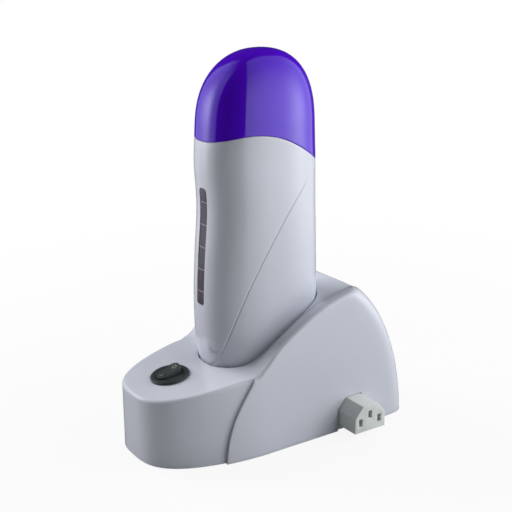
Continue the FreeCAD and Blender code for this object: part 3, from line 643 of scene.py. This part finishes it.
def shell_mesh(sizes):
    """The right half of the heater's body as a closed wall with half of the window's slot."""
    half_width = sizes.groove_width / MM / 2
    low_rows, mid_rows, high_rows = 10, 14, 8
    outer, inner = [], []
    for column, turn in enumerate(shell_turns()):
        top = parting_height(turn) - SEAT_GAP
        centre, steep = groove_centre(turn)
        centre = max(centre, FOOT + 4.0)
        x = body_point(120.0, turn).x
        beyond = smooth((column - SLOT_COLUMNS - 2) / 14)
        over = max(min(x, WINDOW_HALF) - WINDOW_HALF + WINDOW_CORNER, 0.0)
        lift = WINDOW_CORNER - sqrt(max(WINDOW_CORNER ** 2 - over ** 2, 0.0))
        crest = min(centre + GROOVE_ROWS[-1] * half_width * steep, top - 1.0)
        slot_low = mix(WINDOW_LOW + lift, mix(crest, top, 0.33), beyond)
        slot_high = mix(WINDOW_HIGH - lift, mix(crest, top, 0.67), beyond)
        floor_edge = body_point(FOOT + SHELL_FLOOR, turn, SHELL_WALL)
        outside, inside = (
            [stadium_point(turn, INLET_HALF_Y, INLET_HALF_X, edge.z).lerp(edge, s) for s in (0, 0.35, 0.7)]
            for edge in (body_point(FOOT, turn, FOOT_ROUND), floor_edge))
        for step in range(5):
            angle = pi / 2 * step / 4
            outside.append(body_point(FOOT + FOOT_ROUND * (1 - cos(angle)), turn,
                                      FOOT_ROUND * (1 - sin(angle))))
            inside.append(floor_edge + Vector((0, 0, 0.02 * step)))
        heights = [mix(FOOT + FOOT_ROUND, centre + GROOVE_ROWS[0] * half_width * steep, (r + 1) / low_rows)
                   for r in range(low_rows - 1)]
        heights += [centre + share * half_width * steep for share in GROOVE_ROWS]
        limit = top - 0.9
        heights = [min(h, limit - 0.01 * (len(heights) - i)) for i, h in enumerate(heights)]
        start = heights[-1]
        heights += [mix(start, slot_low, (r + 1) / 8) for r in range(8)]
        heights += [mix(slot_low, slot_high, (r + 1) / mid_rows) for r in range(mid_rows)]
        heights += [mix(slot_high, top - EDGE_STEPS[0][0], (r + 1) / high_rows) for r in range(high_rows)]
        for height in heights:
            point = body_point(height, turn)
            outside.append(body_point(height, turn, groove_inset(point, sizes)))
            inside.append(body_point(max(height, FOOT + SHELL_FLOOR + 0.2), turn, SHELL_WALL))
        for down, inset in EDGE_STEPS[1:]:
            outside.append(body_point(top - down, turn, inset))
            inside.append(body_point(top - down * 0.5, turn, SHELL_WALL))
        outer.append(outside)
        inner.append(inside)
    slot_row = 8 + low_rows - 1 + len(GROOVE_ROWS) + 8 - 1

    def keep(column, row):
        return not (column < SLOT_COLUMNS and slot_row <= row < slot_row + mid_rows)

    return walled(outer, inner, False, keep)


def lamp_cutter():
    """A block for the pilot lens's round hole."""
    share = LAMP_X / HALF_WIDTH
    front = blend(FRONTS, LAMP_Z)
    y = front_y(LAMP_X, LAMP_Z)
    slope = SECTION_POWER - 1
    outward = Vector((share ** slope / HALF_WIDTH, -(abs(y) / front) ** slope / front, 0)).normalized()
    across = outward.cross(Vector((0, 0, 1)))
    start = Vector((LAMP_X, y, LAMP_Z)) - outward * 6
    ring = [start + across * p.x + Vector((0, 0, p.y)) for p in circle(LAMP_RADIUS + LAMP_GAP, 40)]
    return prism("lamp_cutter", ring, outward * 12)


def ease_parting(bm):
    """Draws the two ends of a half shell in a little, so that the halves meet in a fine line."""
    for vertex in bm.verts:
        if abs(vertex.co.x) < 1e-4:
            vertex.co.x = 0.05


# ---- base pieces
NOSE_PLACES = 30
SIDE_PLACES = 44
CORNER_PLACES = 22
WALL_ROWS = 26
TOP_ROWS = 20
ROUND_STEPS = 8
SEAM_ANGLE = acos(1 - COWL_WALL / CREST_ROUND)
ARC_AT_TOP = -29.0
ARC_BLEND = 0.012


def base_places():
    """Places round the right half of the plan, closer together where it turns."""
    places = [(index / NOSE_PLACES) ** 1.4 for index in range(NOSE_PLACES)]
    places += [1 + index / SIDE_PLACES for index in range(SIDE_PLACES)]
    for index in range(CORNER_PLACES + 1):
        share = index / CORNER_PLACES
        near = share ** 2.2
        places.append(2 + near / (near + (1 - share) ** 2.2))
    arc = place_at(ARC_AT_TOP, COWL_WALL)
    return sorted([p for p in places if abs(p - arc) > 3 * ARC_BLEND] + [arc - ARC_BLEND, arc + ARC_BLEND])


def housing_column(place, skin):
    """One column of the housing: rim, wall, rounding, upper surface, cradle wall and floor.

    skin is 0 on the outside and 1 on the inside of the wall.
    """
    arc = place_at(ARC_AT_TOP, COWL_WALL)
    under_cowl = smooth((place - arc + ARC_BLEND) / (2 * ARC_BLEND))
    thick = HOUSING_WALL * skin
    column = [rim_point(0, COWL_WALL + max(thick, 0.4), place)]

    def edge_point(start, size, angle):
        inset, drop = start + size * (1 - cos(angle)), size * (1 - sin(angle))
        return on_top(lambda height: place, inset, drop)

    def rounded(angle):
        late = mix(SEAM_ANGLE, pi / 2, angle / (pi / 2))
        free = edge_point(COWL_WALL, DECK_ROUND, angle)
        return free.lerp(edge_point(0.0, CREST_ROUND, late), under_cowl)

    shoulder = rounded(0.0)
    for row in range(WALL_ROWS):
        height = mix(0.4, shoulder.z, row / WALL_ROWS)
        if skin:
            height = min(height, shoulder.z - thick)
        column.append(rim_point(height, COWL_WALL + thick, place))
    inner_shoulder = rim_point(shoulder.z - thick, COWL_WALL + thick, place)
    for step in range(ROUND_STEPS + 1):
        point = rounded(pi / 2 * step / ROUND_STEPS)
        if skin:
            point = inner_shoulder + Vector((0, 0, 0.002 * step))
        column.append(point)
    edge = column[-1]
    turn = atan2(edge.y / BASE_FRONT, edge.x / BASE_HALF_WIDTH)
    if place == 0:
        turn = -pi / 2
    if place == 3:
        turn = pi / 2
    hole = body_point(55.0, turn, -(WELL_GAP + WELL_LIP + thick))
    for row in range(1, TOP_ROWS + 1):
        share = row / TOP_ROWS
        x, y = mix(edge.x, hole.x, share), mix(edge.y, hole.y, share)
        column.append(Vector((x, y, top_height(x, y) - thick)))
    top = column[-1].z
    for step in range(1, 5):
        angle = pi / 2 * step / 4
        point = body_point(min(top, WELL_TOP), turn, -(WELL_GAP + WELL_LIP * (1 - sin(angle)) + thick))
        column.append(Vector((point.x, point.y, top - WELL_LIP * (1 - cos(angle)))))
    floor = WELL_FLOOR - thick
    top -= WELL_LIP
    for row in range(1, 13):
        height = mix(top, floor, row / 12)
        point = body_point(min(max(height, FOOT), WELL_TOP), turn, -(WELL_GAP + thick))
        column.append(Vector((point.x, point.y, height)))
    last = column[-1]
    slot = stadium_point(turn, PLUG_HALF_Y, PLUG_HALF_X, floor)
    return column + [last.lerp(slot, share) for share in (0.3, 0.65, 1.0)]


def housing_mesh():
    grids = []
    for skin in (0, 1):
        right = [housing_column(place, skin) for place in base_places()]
        grids.append(right + mirrored(right[1:-1]))
    return walled(*grids, True)


EDGE_ROUND = 0.9
COWL_STATIONS = 84
COWL_START = 50.0
EDGE_BACKS = (0.0, 0.06, 0.2, 0.42, 0.68, 0.9, 2.0, 4.0)


def cowl_column(back, share, skin):
    """One column of the cowl. back is the distance behind its front edge, then share runs on to
    the middle of the rear; skin is 0 on the outside and 1 on the inside."""
    lean = max(EDGE_ROUND - back, 0.0)
    draw = EDGE_ROUND - sqrt(max(EDGE_ROUND ** 2 - lean ** 2, 0.0))

    def place_for(height):
        start = place_at(blend(ARC, height) + back, 0.0)
        return mix(start, 3.0, share)

    shoulder = on_top(place_for, 0.0, CREST_ROUND, COWL_START)
    seam = on_top(place_for, COWL_WALL, CREST_ROUND * (1 - sin(SEAM_ANGLE)), COWL_START)
    levels = [(0.0, 0.5), (0.12, 0.18), (0.5, 0.0)]
    levels += [(mix(0.5, shoulder.z, row / WALL_ROWS), 0.0) for row in range(1, WALL_ROWS + 1)]
    column = [rim_point(height, COWL_WALL if skin else max(inset, draw), place_for(height))
              for height, inset in levels]
    for step in range(1, ROUND_STEPS + 1):
        angle = SEAM_ANGLE * step / ROUND_STEPS
        inset = CREST_ROUND * (1 - cos(angle))
        if skin:
            column.append(column[-1].lerp(seam, 1.0 if step == ROUND_STEPS else 0.3))
        else:
            drop = CREST_ROUND * (1 - sin(angle))
            column.append(on_top(place_for, max(inset, draw), drop, COWL_START))
    return column


def cowl_mesh():
    stations = [(back, 0.0) for back in EDGE_BACKS]
    for index in range(1, COWL_STATIONS + 1):
        share = index / COWL_STATIONS
        near = share + 0.06 * sin(FULL_TURN * share)
        stations.append((EDGE_BACKS[-1], min(near, 1.0)))
    grids = []
    for skin in (0, 1):
        right = [cowl_column(back, share, skin) for back, share in stations]
        grids.append(right + mirrored(right[:-1]))
    return walled(*grids, False)


SOCKET_Y = 43.3
SOCKET_MIDDLE = 12.5


def socket_outline(grow, x):
    """The connector opening's outline, open to the bottom edge, grown by grow."""
    half = 11.4 + grow
    high = SOCKET_MIDDLE + 8.2 + grow
    wide, tall = 6.0 + 0.4 * grow, 6.8 + 0.4 * grow
    points = ((-half, -5.0), (half, -5.0), (half, high - tall), (half - wide, high),
              (-half + wide, high), (-half, high - tall))
    return [Vector((x, SOCKET_Y + y, z)) for y, z in points]


def socket_cutters():
    """Blocks for the outlet's opening on the right and the inlet's on the left."""
    return [prism("outlet_cutter", socket_outline(0.5, 30.0), (30, 0, 0)),
            prism("inlet_cutter", socket_outline(2.3, -60.0), (30, 0, 0))]


def deck_frame():
    """The switch's own frame on the sloping deck, in millimetres."""
    tilt = atan(DECK_SLOPE)
    return Matrix.Translation((0, SWITCH_Y, DECK_HEIGHT)) @ Matrix.Rotation(tilt, 4, "X")


def switch_cutter():
    place = deck_frame()
    ring = [place @ (p - Vector((0, 0, 15))) for p in circle(SWITCH_BORE, 48)]
    return prism("switch_cutter", ring, place.to_3x3() @ Vector((0, 0, 30)))


# ---- operators
class WaxOperator(bpy.types.Operator):
    bl_options = {"REGISTER", "UNDO"}


class WAX_OT_cap(WaxOperator):
    """Domed cap with a real wall"""

    bl_idname = "wax.cap"
    bl_label = "Cap"

    def execute(self, context):
        dress(new_piece("domed_cap", cap_mesh()), "purple_plastic", "cap", "cap")
        return {"FINISHED"}


class WAX_OT_body_shells(WaxOperator):
    """Two halves of the heater's body"""

    bl_idname = "wax.body_shells"
    bl_label = "Body shells"

    def execute(self, context):
        sizes = context.scene.wax_sizes
        for side_name, side in (("right", 1), ("left", -1)):
            bm = shell_mesh(sizes)
            ease_parting(bm)
            if side < 0:
                bmesh.ops.scale(bm, vec=(-1, 1, 1), verts=bm.verts)
                bmesh.ops.reverse_faces(bm, faces=bm.faces)
            piece = new_piece("body_half_" + side_name, bm)
            if side > 0:
                cut(piece, [lamp_cutter()])
            dress(piece, "white_plastic", "heater", "shell_" + side_name)
        return {"FINISHED"}


class WAX_OT_base_shells(WaxOperator):
    """Front body with deck and cradle, and the cowl round it"""

    bl_idname = "wax.base_shells"
    bl_label = "Base shells"

    def execute(self, context):
        housing = new_piece("base_body", housing_mesh())
        cut(housing, socket_cutters() + [switch_cutter()])
        dress(housing, "white_plastic", "base", "base_housing")
        cowl = new_piece("wing_cowl", cowl_mesh())
        cut(cowl, socket_cutters())
        dress(cowl, "white_plastic", "base", "rear_cowl")
        return {"FINISHED"}


EASED_ANGLE = 38.0
EASED = {
    "switch_frame": 0.5, "switch_rocker": 0.6, "outlet_body": 0.7, "inlet_body": 0.3,
    "cradle_plug": 0.6, "cartridge_sleeve": 0.4, "neck_collar": 0.3, "heater_inlet": 0.4,
    "bottom_plate": 0.3, "rubber_feet": 0.6, "bottom_screws": 0.3, "shell_screws": 0.3,
    "outlet_sleeves": 0.1, "inlet_pins": 0.4, "pilot_lens": 0.4, "window_lens": 0.2,
    "pad_clamp": 0.2, "heating_pad": 0.3, "thermostat": 0.3, "switch_contact": 0.1,
}


class WAX_OT_fittings(WaxOperator):
    """Small pieces with eased edges, and finishes on every other piece of the frame"""

    bl_idname = "wax.fittings"
    bl_label = "Fittings"

    def execute(self, context):
        slots = {part["node"]: part["material_slot"] for part in frame["record"]["subparts"]}
        bodies = frame["record"]["behaviour"]["bodies"]
        owner = {name: body for body, names in bodies.items() for name in names}
        replaced = {"cap", "shell_left", "shell_right", "base_housing", "rear_cowl"}
        for name, cad in frame["nodes"].items():
            if name in replaced:
                continue
            if name in EASED:
                piece = eased_copy(cad, name, EASED[name])
                dress(piece, slots[name], owner[name], name)
            else:
                cad.data.materials.clear()
                cad.data.materials.append(finish(slots[name]))
        return {"FINISHED"}


def eased_copy(cad, name, width):
    """A merged copy of a CAD node with its edges rounded and its shading smooth."""
    bm = bmesh.new()
    bm.from_mesh(cad.data)
    bmesh.ops.remove_doubles(bm, verts=bm.verts, dist=2e-6)
    bmesh.ops.dissolve_limit(bm, angle_limit=radians(1.0), verts=bm.verts, edges=bm.edges)
    bmesh.ops.scale(bm, vec=(1 / MM, 1 / MM, 1 / MM), verts=bm.verts)
    piece = new_piece(name + "_finished", bm)
    modify(piece, "BEVEL", width=width * MM, segments=3, limit_method="ANGLE",
           angle_limit=radians(EASED_ANGLE))
    return shade(baked(piece), EASED_ANGLE)


ROCKER_TILT = radians(13.0)
PADDLE_RISE = 0.9 / 7.7
MARK_Y = 4.6


class WAX_OT_switch_marks(WaxOperator):
    """The dash and ring on the rocker's two ends"""

    bl_idname = "wax.switch_marks"
    bl_label = "Switch marks"

    def execute(self, context):
        place = deck_frame() @ Matrix.Translation((0, 0, 0.1)) @ Matrix.Rotation(ROCKER_TILT, 4, "X")
        bm = bmesh.new()
        for end in (-1, 1):
            face = place @ Matrix.Translation((0, end * MARK_Y, 3.0 + MARK_Y * PADDLE_RISE + 0.03))
            face = face @ Matrix.Rotation(end * atan(PADDLE_RISE), 4, "X")
            if end < 0:
                dash = ((-0.28, -1.3), (0.28, -1.3), (0.28, 1.3), (-0.28, 1.3))
                bm.faces.new([bm.verts.new(face @ Vector((x, y, 0))) for x, y in dash])
                continue
            inner, outer = ([bm.verts.new(face @ p) for p in circle(radius, 32)] for radius in (1.0, 1.5))
            for i in range(32):
                j = (i + 1) % 32
                bm.faces.new((inner[i], outer[i], outer[j], inner[j]))
        bmesh.ops.recalc_face_normals(bm, faces=bm.faces)
        for face in bm.faces:
            if face.normal.z < 0:
                face.normal_flip()
        raised = bmesh.ops.extrude_face_region(bm, geom=list(bm.faces))
        lift = [item for item in raised["geom"] if isinstance(item, bmesh.types.BMVert)]
        bmesh.ops.translate(bm, verts=lift, vec=(0, 0, 0.05))
        bmesh.ops.recalc_face_normals(bm, faces=bm.faces)
        piece = new_piece("switch_marks", bm)
        dress(piece, "black_plastic", "rocker")
        piece.data.materials[0] = finish("mark")
        return {"FINISHED"}


def tick_tree():
    """Level marks in a row: inputs for how many, how far apart and how large."""
    tree = bpy.data.node_groups.new("level_marks", "GeometryNodeTree")
    tree.interface.new_socket("Geometry", in_out="OUTPUT", socket_type="NodeSocketGeometry")
    for name, kind in (("Count", "Int"), ("Pitch", "Float"), ("Length", "Float"), ("Height", "Float"),
                       ("Depth", "Float"), ("Start", "Vector"), ("Finish", "Material")):
        tree.interface.new_socket(name, in_out="INPUT", socket_type="NodeSocket" + kind)
    given = node(tree, "NodeGroupInput").outputs
    step = node(tree, "ShaderNodeCombineXYZ", {"Z": given["Pitch"]}).outputs["Vector"]
    line = node(tree, "GeometryNodeMeshLine", mode="OFFSET")
    feed(tree, line, {"Count": given["Count"], "Start Location": given["Start"], "Offset": step})
    sides = {"X": given["Length"], "Y": given["Depth"], "Z": given["Height"]}
    size = node(tree, "ShaderNodeCombineXYZ", sides).outputs["Vector"]
    bar = node(tree, "GeometryNodeMeshCube", {"Size": size, "Vertices X": 9})
    copies = node(tree, "GeometryNodeInstanceOnPoints",
                  {"Points": line.outputs["Mesh"], "Instance": bar.outputs["Mesh"]})
    real = node(tree, "GeometryNodeRealizeInstances", {"Geometry": copies.outputs["Instances"]})
    paint = node(tree, "GeometryNodeSetMaterial",
                 {"Geometry": real.outputs["Geometry"], "Material": given["Finish"]})
    node(tree, "NodeGroupOutput", {"Geometry": paint.outputs["Geometry"]})
    return tree


def grown(name, tree, values):
    """A plain mesh object grown by a node tree with the given input values."""
    piece = placed(name, bpy.data.meshes.new(name))
    modifier = modify(piece, "NODES", node_group=tree)
    for item in tree.interface.items_tree:
        if item.in_out == "INPUT" and item.name in values:
            modifier[item.identifier] = values[item.name]
    return baked(piece)


TICK_INSET = 0.25


class WAX_OT_level_marks(WaxOperator):
    """Plain level marks on the window strip"""

    bl_idname = "wax.level_marks"
    bl_label = "Level marks"

    def execute(self, context):
        sizes = context.scene.wax_sizes
        lowest = (WINDOW_LOW + WINDOW_HIGH) / 2 * MM - sizes.tick_pitch * (sizes.tick_count - 1) / 2
        values = {"Count": sizes.tick_count, "Pitch": sizes.tick_pitch, "Length": sizes.tick_length,
                  "Height": 0.55 * MM, "Depth": 0.4 * MM, "Start": (0.0, 0.1 * MM, lowest),
                  "Finish": finish("tick")}
        piece = grown("level_marks", tick_tree(), values)
        follow_front(piece.data)
        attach(piece, "heater")
        return {"FINISHED"}


def follow_front(mesh):
    """Moves marks on to the strip's front at their own height, curved with it."""
    for vertex in mesh.vertices:
        vertex.co.y += front_y(vertex.co.x / MM, vertex.co.z / MM, TICK_INSET) * MM


# ---- stage
FOCAL_PIXELS = 998.5
IMAGE_PIXELS = 512
SENSOR = 36.0
AZIMUTH = 56.74
ELEVATION = 16.916
ROLL = radians(-0.5455)
AIM_X = 0.0251
AIM_Y = -101.832
DISTANCE = 625.29


def toward(azimuth, height):
    """The direction at an azimuth from -Y toward +X and an angle above level, in degrees."""
    azimuth, height = radians(azimuth), radians(height)
    return Vector((sin(azimuth) * cos(height), -cos(azimuth) * cos(height),
                   sin(height)))


def make_camera():
    right = toward(AZIMUTH + 90.0, 0.0)
    back = toward(AZIMUTH, ELEVATION)
    up = back.cross(right)
    across = right * cos(ROLL) + up * sin(ROLL)
    upward = up * cos(ROLL) - right * sin(ROLL)
    camera = bpy.data.cameras.new("camera")
    camera.sensor_fit = "HORIZONTAL"
    camera.sensor_width = SENSOR
    camera.lens = FOCAL_PIXELS / IMAGE_PIXELS * SENSOR
    camera.clip_start, camera.clip_end = 0.01, 20.0
    holder = placed("camera", camera)
    turn = Matrix((across, upward, back)).transposed().to_4x4()
    place = (across * -AIM_X + upward * -AIM_Y + back * DISTANCE) * MM
    holder.matrix_world = Matrix.Translation(place) @ turn
    bpy.context.scene.camera = holder


def seen_rays(tree):
    """A value that is 1 for rays from the camera and for reflected and transmitted ones."""
    path = node(tree, "ShaderNodeLightPath").outputs
    value = path["Is Camera Ray"]
    for kind in ("Is Glossy Ray", "Is Transmission Ray"):
        value = node(tree, "ShaderNodeMath", {0: value, 1: path[kind]}, operation="MAXIMUM").outputs[0]
    return value


def make_world():
    """White to the camera and in reflections, a plain grey to everything else."""
    world = bpy.data.worlds.new("studio")
    bpy.context.scene.world = world
    world.use_nodes = True
    tree = world.node_tree
    tree.nodes.clear()
    seen = node(tree, "ShaderNodeBackground", {"Color": (1, 1, 1, 1)})
    lit = node(tree, "ShaderNodeBackground", {"Color": (0.95, 0.97, 1.0, 1), "Strength": WORLD_LEVEL})
    choose = node(tree, "ShaderNodeMixShader",
                  {"Fac": seen_rays(tree), 1: lit.outputs[0], 2: seen.outputs[0]})
    node(tree, "ShaderNodeOutputWorld", {"Surface": choose.outputs[0]})


def level_reach(tree):
    """Level distance from the middle, in metres."""
    coords = node(tree, "ShaderNodeTexCoord").outputs["Object"]
    level = node(tree, "ShaderNodeVectorMath", {0: coords, 1: (1, 1, 0)}, operation="MULTIPLY")
    return node(tree, "ShaderNodeVectorMath", {0: level.outputs[0]}, operation="LENGTH").outputs["Value"]


def make_floor():
    """Pale floor that keeps the soft shadow and runs out to plain white."""
    bm = bmesh.new()
    bmesh.ops.create_grid(bm, x_segments=1, y_segments=1, size=6000.0)
    floor = new_piece("floor", bm)
    material, tree, principled = shader("pale_floor")
    feed(tree, principled, {"Base Color": (FLOOR_SHADE, FLOOR_SHADE, FLOOR_SHADE, 1), "Roughness": 0.9})
    glow = node(tree, "ShaderNodeEmission", {"Color": (1, 1, 1, 1)})
    share = node(tree, "ShaderNodeMapRange", interpolation_type="SMOOTHSTEP")
    feed(tree, share, {"Value": level_reach(tree), "From Min": 0.12, "From Max": 0.6,
                       "To Min": 0.9, "To Max": 1.0})
    seen = node(tree, "ShaderNodeMath", {0: seen_rays(tree), 1: share.outputs["Result"]},
                operation="MULTIPLY")
    choose = node(tree, "ShaderNodeMixShader",
                  {"Fac": seen.outputs[0], 1: principled.outputs[0], 2: glow.outputs[0]})
    feed(tree, tree.nodes["Material Output"], {"Surface": choose.outputs[0]})
    floor.data.materials.append(material)
    return floor


WORLD_LEVEL = 0.03
FLOOR_SHADE = 0.6
STUDIO_RADIUS = 600.0
STUDIO_MIDDLE = 120.0
STUDIO_COLUMNS = 180
FLOOR_RINGS = (*range(30, 181, 30), *range(220, 341, 40), 420, 500)


def bell(value, middle, width):
    return exp(-((value - middle) / width) ** 2)


def between(value, low, high, soft_low, soft_high):
    """1 between low and high, easing to 0 over the soft widths outside them."""
    return smooth((value - low) / soft_low + 1) * smooth((high - value) / soft_high + 1)


def studio_glow(azimuth, height, softness):
    """Brightness of the room seen in reflections: a softbox each side, a pale back, dark elsewhere.

    Azimuth in degrees from -Y toward +X, height in degrees above level; softness blurs the
    softbox's edge, as the floor near the object does.
    """
    spread = 3.0 + 52.0 * softness
    left = between(azimuth, -80.0, -8.0 - spread / 3, 5.0, spread)
    left *= 1.6 + 7.0 * bell(azimuth, -44.0, 14.0) * bell(height, 15.0, 18.0)
    left *= smooth((80.0 - height) / 28.0)
    behind = azimuth if azimuth > 0 else azimuth + 360.0
    right = between(behind, 80.5, 184.0, 2.5, 8.0)
    right *= (1.15 - 0.65 * smooth((height - 25.0) / 40.0)
              + 0.5 * bell(behind, 118.0, 30.0) * bell(height, 10.0, 40.0)
              + 3.0 * bell(behind, 145.0, 15.0) * bell(height, 6.0, 22.0))
    back = between(behind, 192.0, 264.0, 6.0, 6.0) * smooth((26.0 - height) / 12.0)
    return 0.015 + 0.31 * left + 0.75 * right + 0.05 * back


def make_reflector():
    """A dome seen only in reflections, with its brightness held on the mesh."""
    bm = bmesh.new()
    held = bm.verts.layers.float.new("glow")
    floor_radius = sqrt(STUDIO_RADIUS ** 2 - STUDIO_MIDDLE ** 2)
    rings = []
    # The floor rings are dim near the middle and brighter outward: painted shade of the floor round the
    # object, as seen in its reflections.
    for radius in (*FLOOR_RINGS, floor_radius):
        share = mix(0.04, 0.35, smooth((radius - 90.0) / 250.0)) + 0.65 * smooth((radius - 340.0) / 240.0)
        rings.append((radius, 0.4, -14.0, share, 1.0 - smooth((radius - 260.0) / 200.0)))
    low = -degrees(asin(STUDIO_MIDDLE / STUDIO_RADIUS))
    for index in range(1, 33):
        height = mix(low, 89.5, index / 32)
        angle = radians(height)
        rings.append((STUDIO_RADIUS * cos(angle), STUDIO_MIDDLE + STUDIO_RADIUS * sin(angle),
                      height, 1.0, 0.0))
    grid = []
    for radius, z, height, share, softness in rings:
        ring = []
        for index in range(STUDIO_COLUMNS):
            azimuth = 360.0 * index / STUDIO_COLUMNS - 180.0
            vertex = bm.verts.new(toward(azimuth, 0.0) * radius + Vector((0, 0, z)))
            vertex[held] = share * studio_glow(azimuth, height, softness)
            ring.append(vertex)
        grid.append(ring)
    for a, b in zip(grid, grid[1:]):
        for index in range(STUDIO_COLUMNS):
            after = (index + 1) % STUDIO_COLUMNS
            bm.faces.new((a[index], a[after], b[after], b[index]))
    dome = new_piece("reflector", bm)
    material, tree, _ = shader("reflector")
    tree.nodes.clear()
    glow = node(tree, "ShaderNodeAttribute", attribute_name="glow").outputs["Fac"]
    light = node(tree, "ShaderNodeEmission", {"Color": (0.94, 0.96, 1.0, 1), "Strength": glow})
    node(tree, "ShaderNodeOutputMaterial", {"Surface": light.outputs[0]})
    dome.data.materials.append(material)
    hidden_from = ("camera", "diffuse", "shadow", "transmission")
    return settle(dome, {"visible_" + kind: False for kind in hidden_from})


LAMP_DISTANCE = 1.2
LAMP_SIZE = 0.9
LAMP_AIM = Vector((0, 0, 0.1))
LAMPS = (
    # name, azimuth and height angle in degrees, power
    ("left_high", -60.0, 35.0, 11.8),
    ("left_low", -60.0, 12.0, 10.3),
    ("right_high", 122.0, 38.0, 6.2),
    ("right_low", 150.0, 12.0, 10.6),
    ("rear_high", 180.0, 35.0, 5.4),
)


def make_lamps():
    for name, azimuth, height, power in LAMPS:
        lamp = settle(bpy.data.lights.new(name, "AREA"), {"size": LAMP_SIZE, "energy": power})
        away = toward(azimuth, height)
        settle(placed(name, lamp), {
            "location": LAMP_AIM + away * LAMP_DISTANCE,
            "rotation_mode": "QUATERNION",
            "rotation_quaternion": (-away).to_track_quat("-Z", "Y"),
            "visible_glossy": False,
            "visible_camera": False,
        })


class WAX_OT_stage(WaxOperator):
    """Floor, soft light, reflections and camera"""

    bl_idname = "wax.stage"
    bl_label = "Stage"

    def execute(self, context):
        make_camera()
        make_world()
        make_floor()
        make_reflector()
        make_lamps()
        context.scene.view_settings.view_transform = "Standard"
        return {"FINISHED"}


class WAX_PT_pieces(bpy.types.Panel):
    """Lists the pieces and their settings"""

    bl_idname = "WAX_PT_pieces"
    bl_label = "Wax heater"
    bl_space_type = "VIEW_3D"
    bl_region_type = "UI"
    bl_category = "Wax heater"

    def draw(self, context):
        for settings in (context.scene.wax_looks, context.scene.wax_sizes):
            box = self.layout.box()
            for name in settings.__annotations__:
                box.prop(settings, name)
        for operator in OPERATORS:
            self.layout.operator(operator.bl_idname)


OPERATORS = (WAX_OT_stage, WAX_OT_cap, WAX_OT_body_shells, WAX_OT_base_shells, WAX_OT_fittings,
             WAX_OT_switch_marks, WAX_OT_level_marks)
CLASSES = (WaxLooks, WaxSizes, *OPERATORS, WAX_PT_pieces)


def register():
    for cls in CLASSES:
        bpy.utils.register_class(cls)
    bpy.types.Scene.wax_looks = bpy.props.PointerProperty(type=WaxLooks)
    bpy.types.Scene.wax_sizes = bpy.props.PointerProperty(type=WaxSizes)


def unregister():
    del bpy.types.Scene.wax_looks
    del bpy.types.Scene.wax_sizes
    for cls in reversed(CLASSES):
        bpy.utils.unregister_class(cls)


def main():
    register()
    bpy.ops.wax.stage()
    bpy.ops.wax.cap()
    bpy.ops.wax.body_shells()
    bpy.ops.wax.base_shells()
    bpy.ops.wax.fittings()
    bpy.ops.wax.switch_marks()
    bpy.ops.wax.level_marks()


if __name__ == "__main__":
    main()
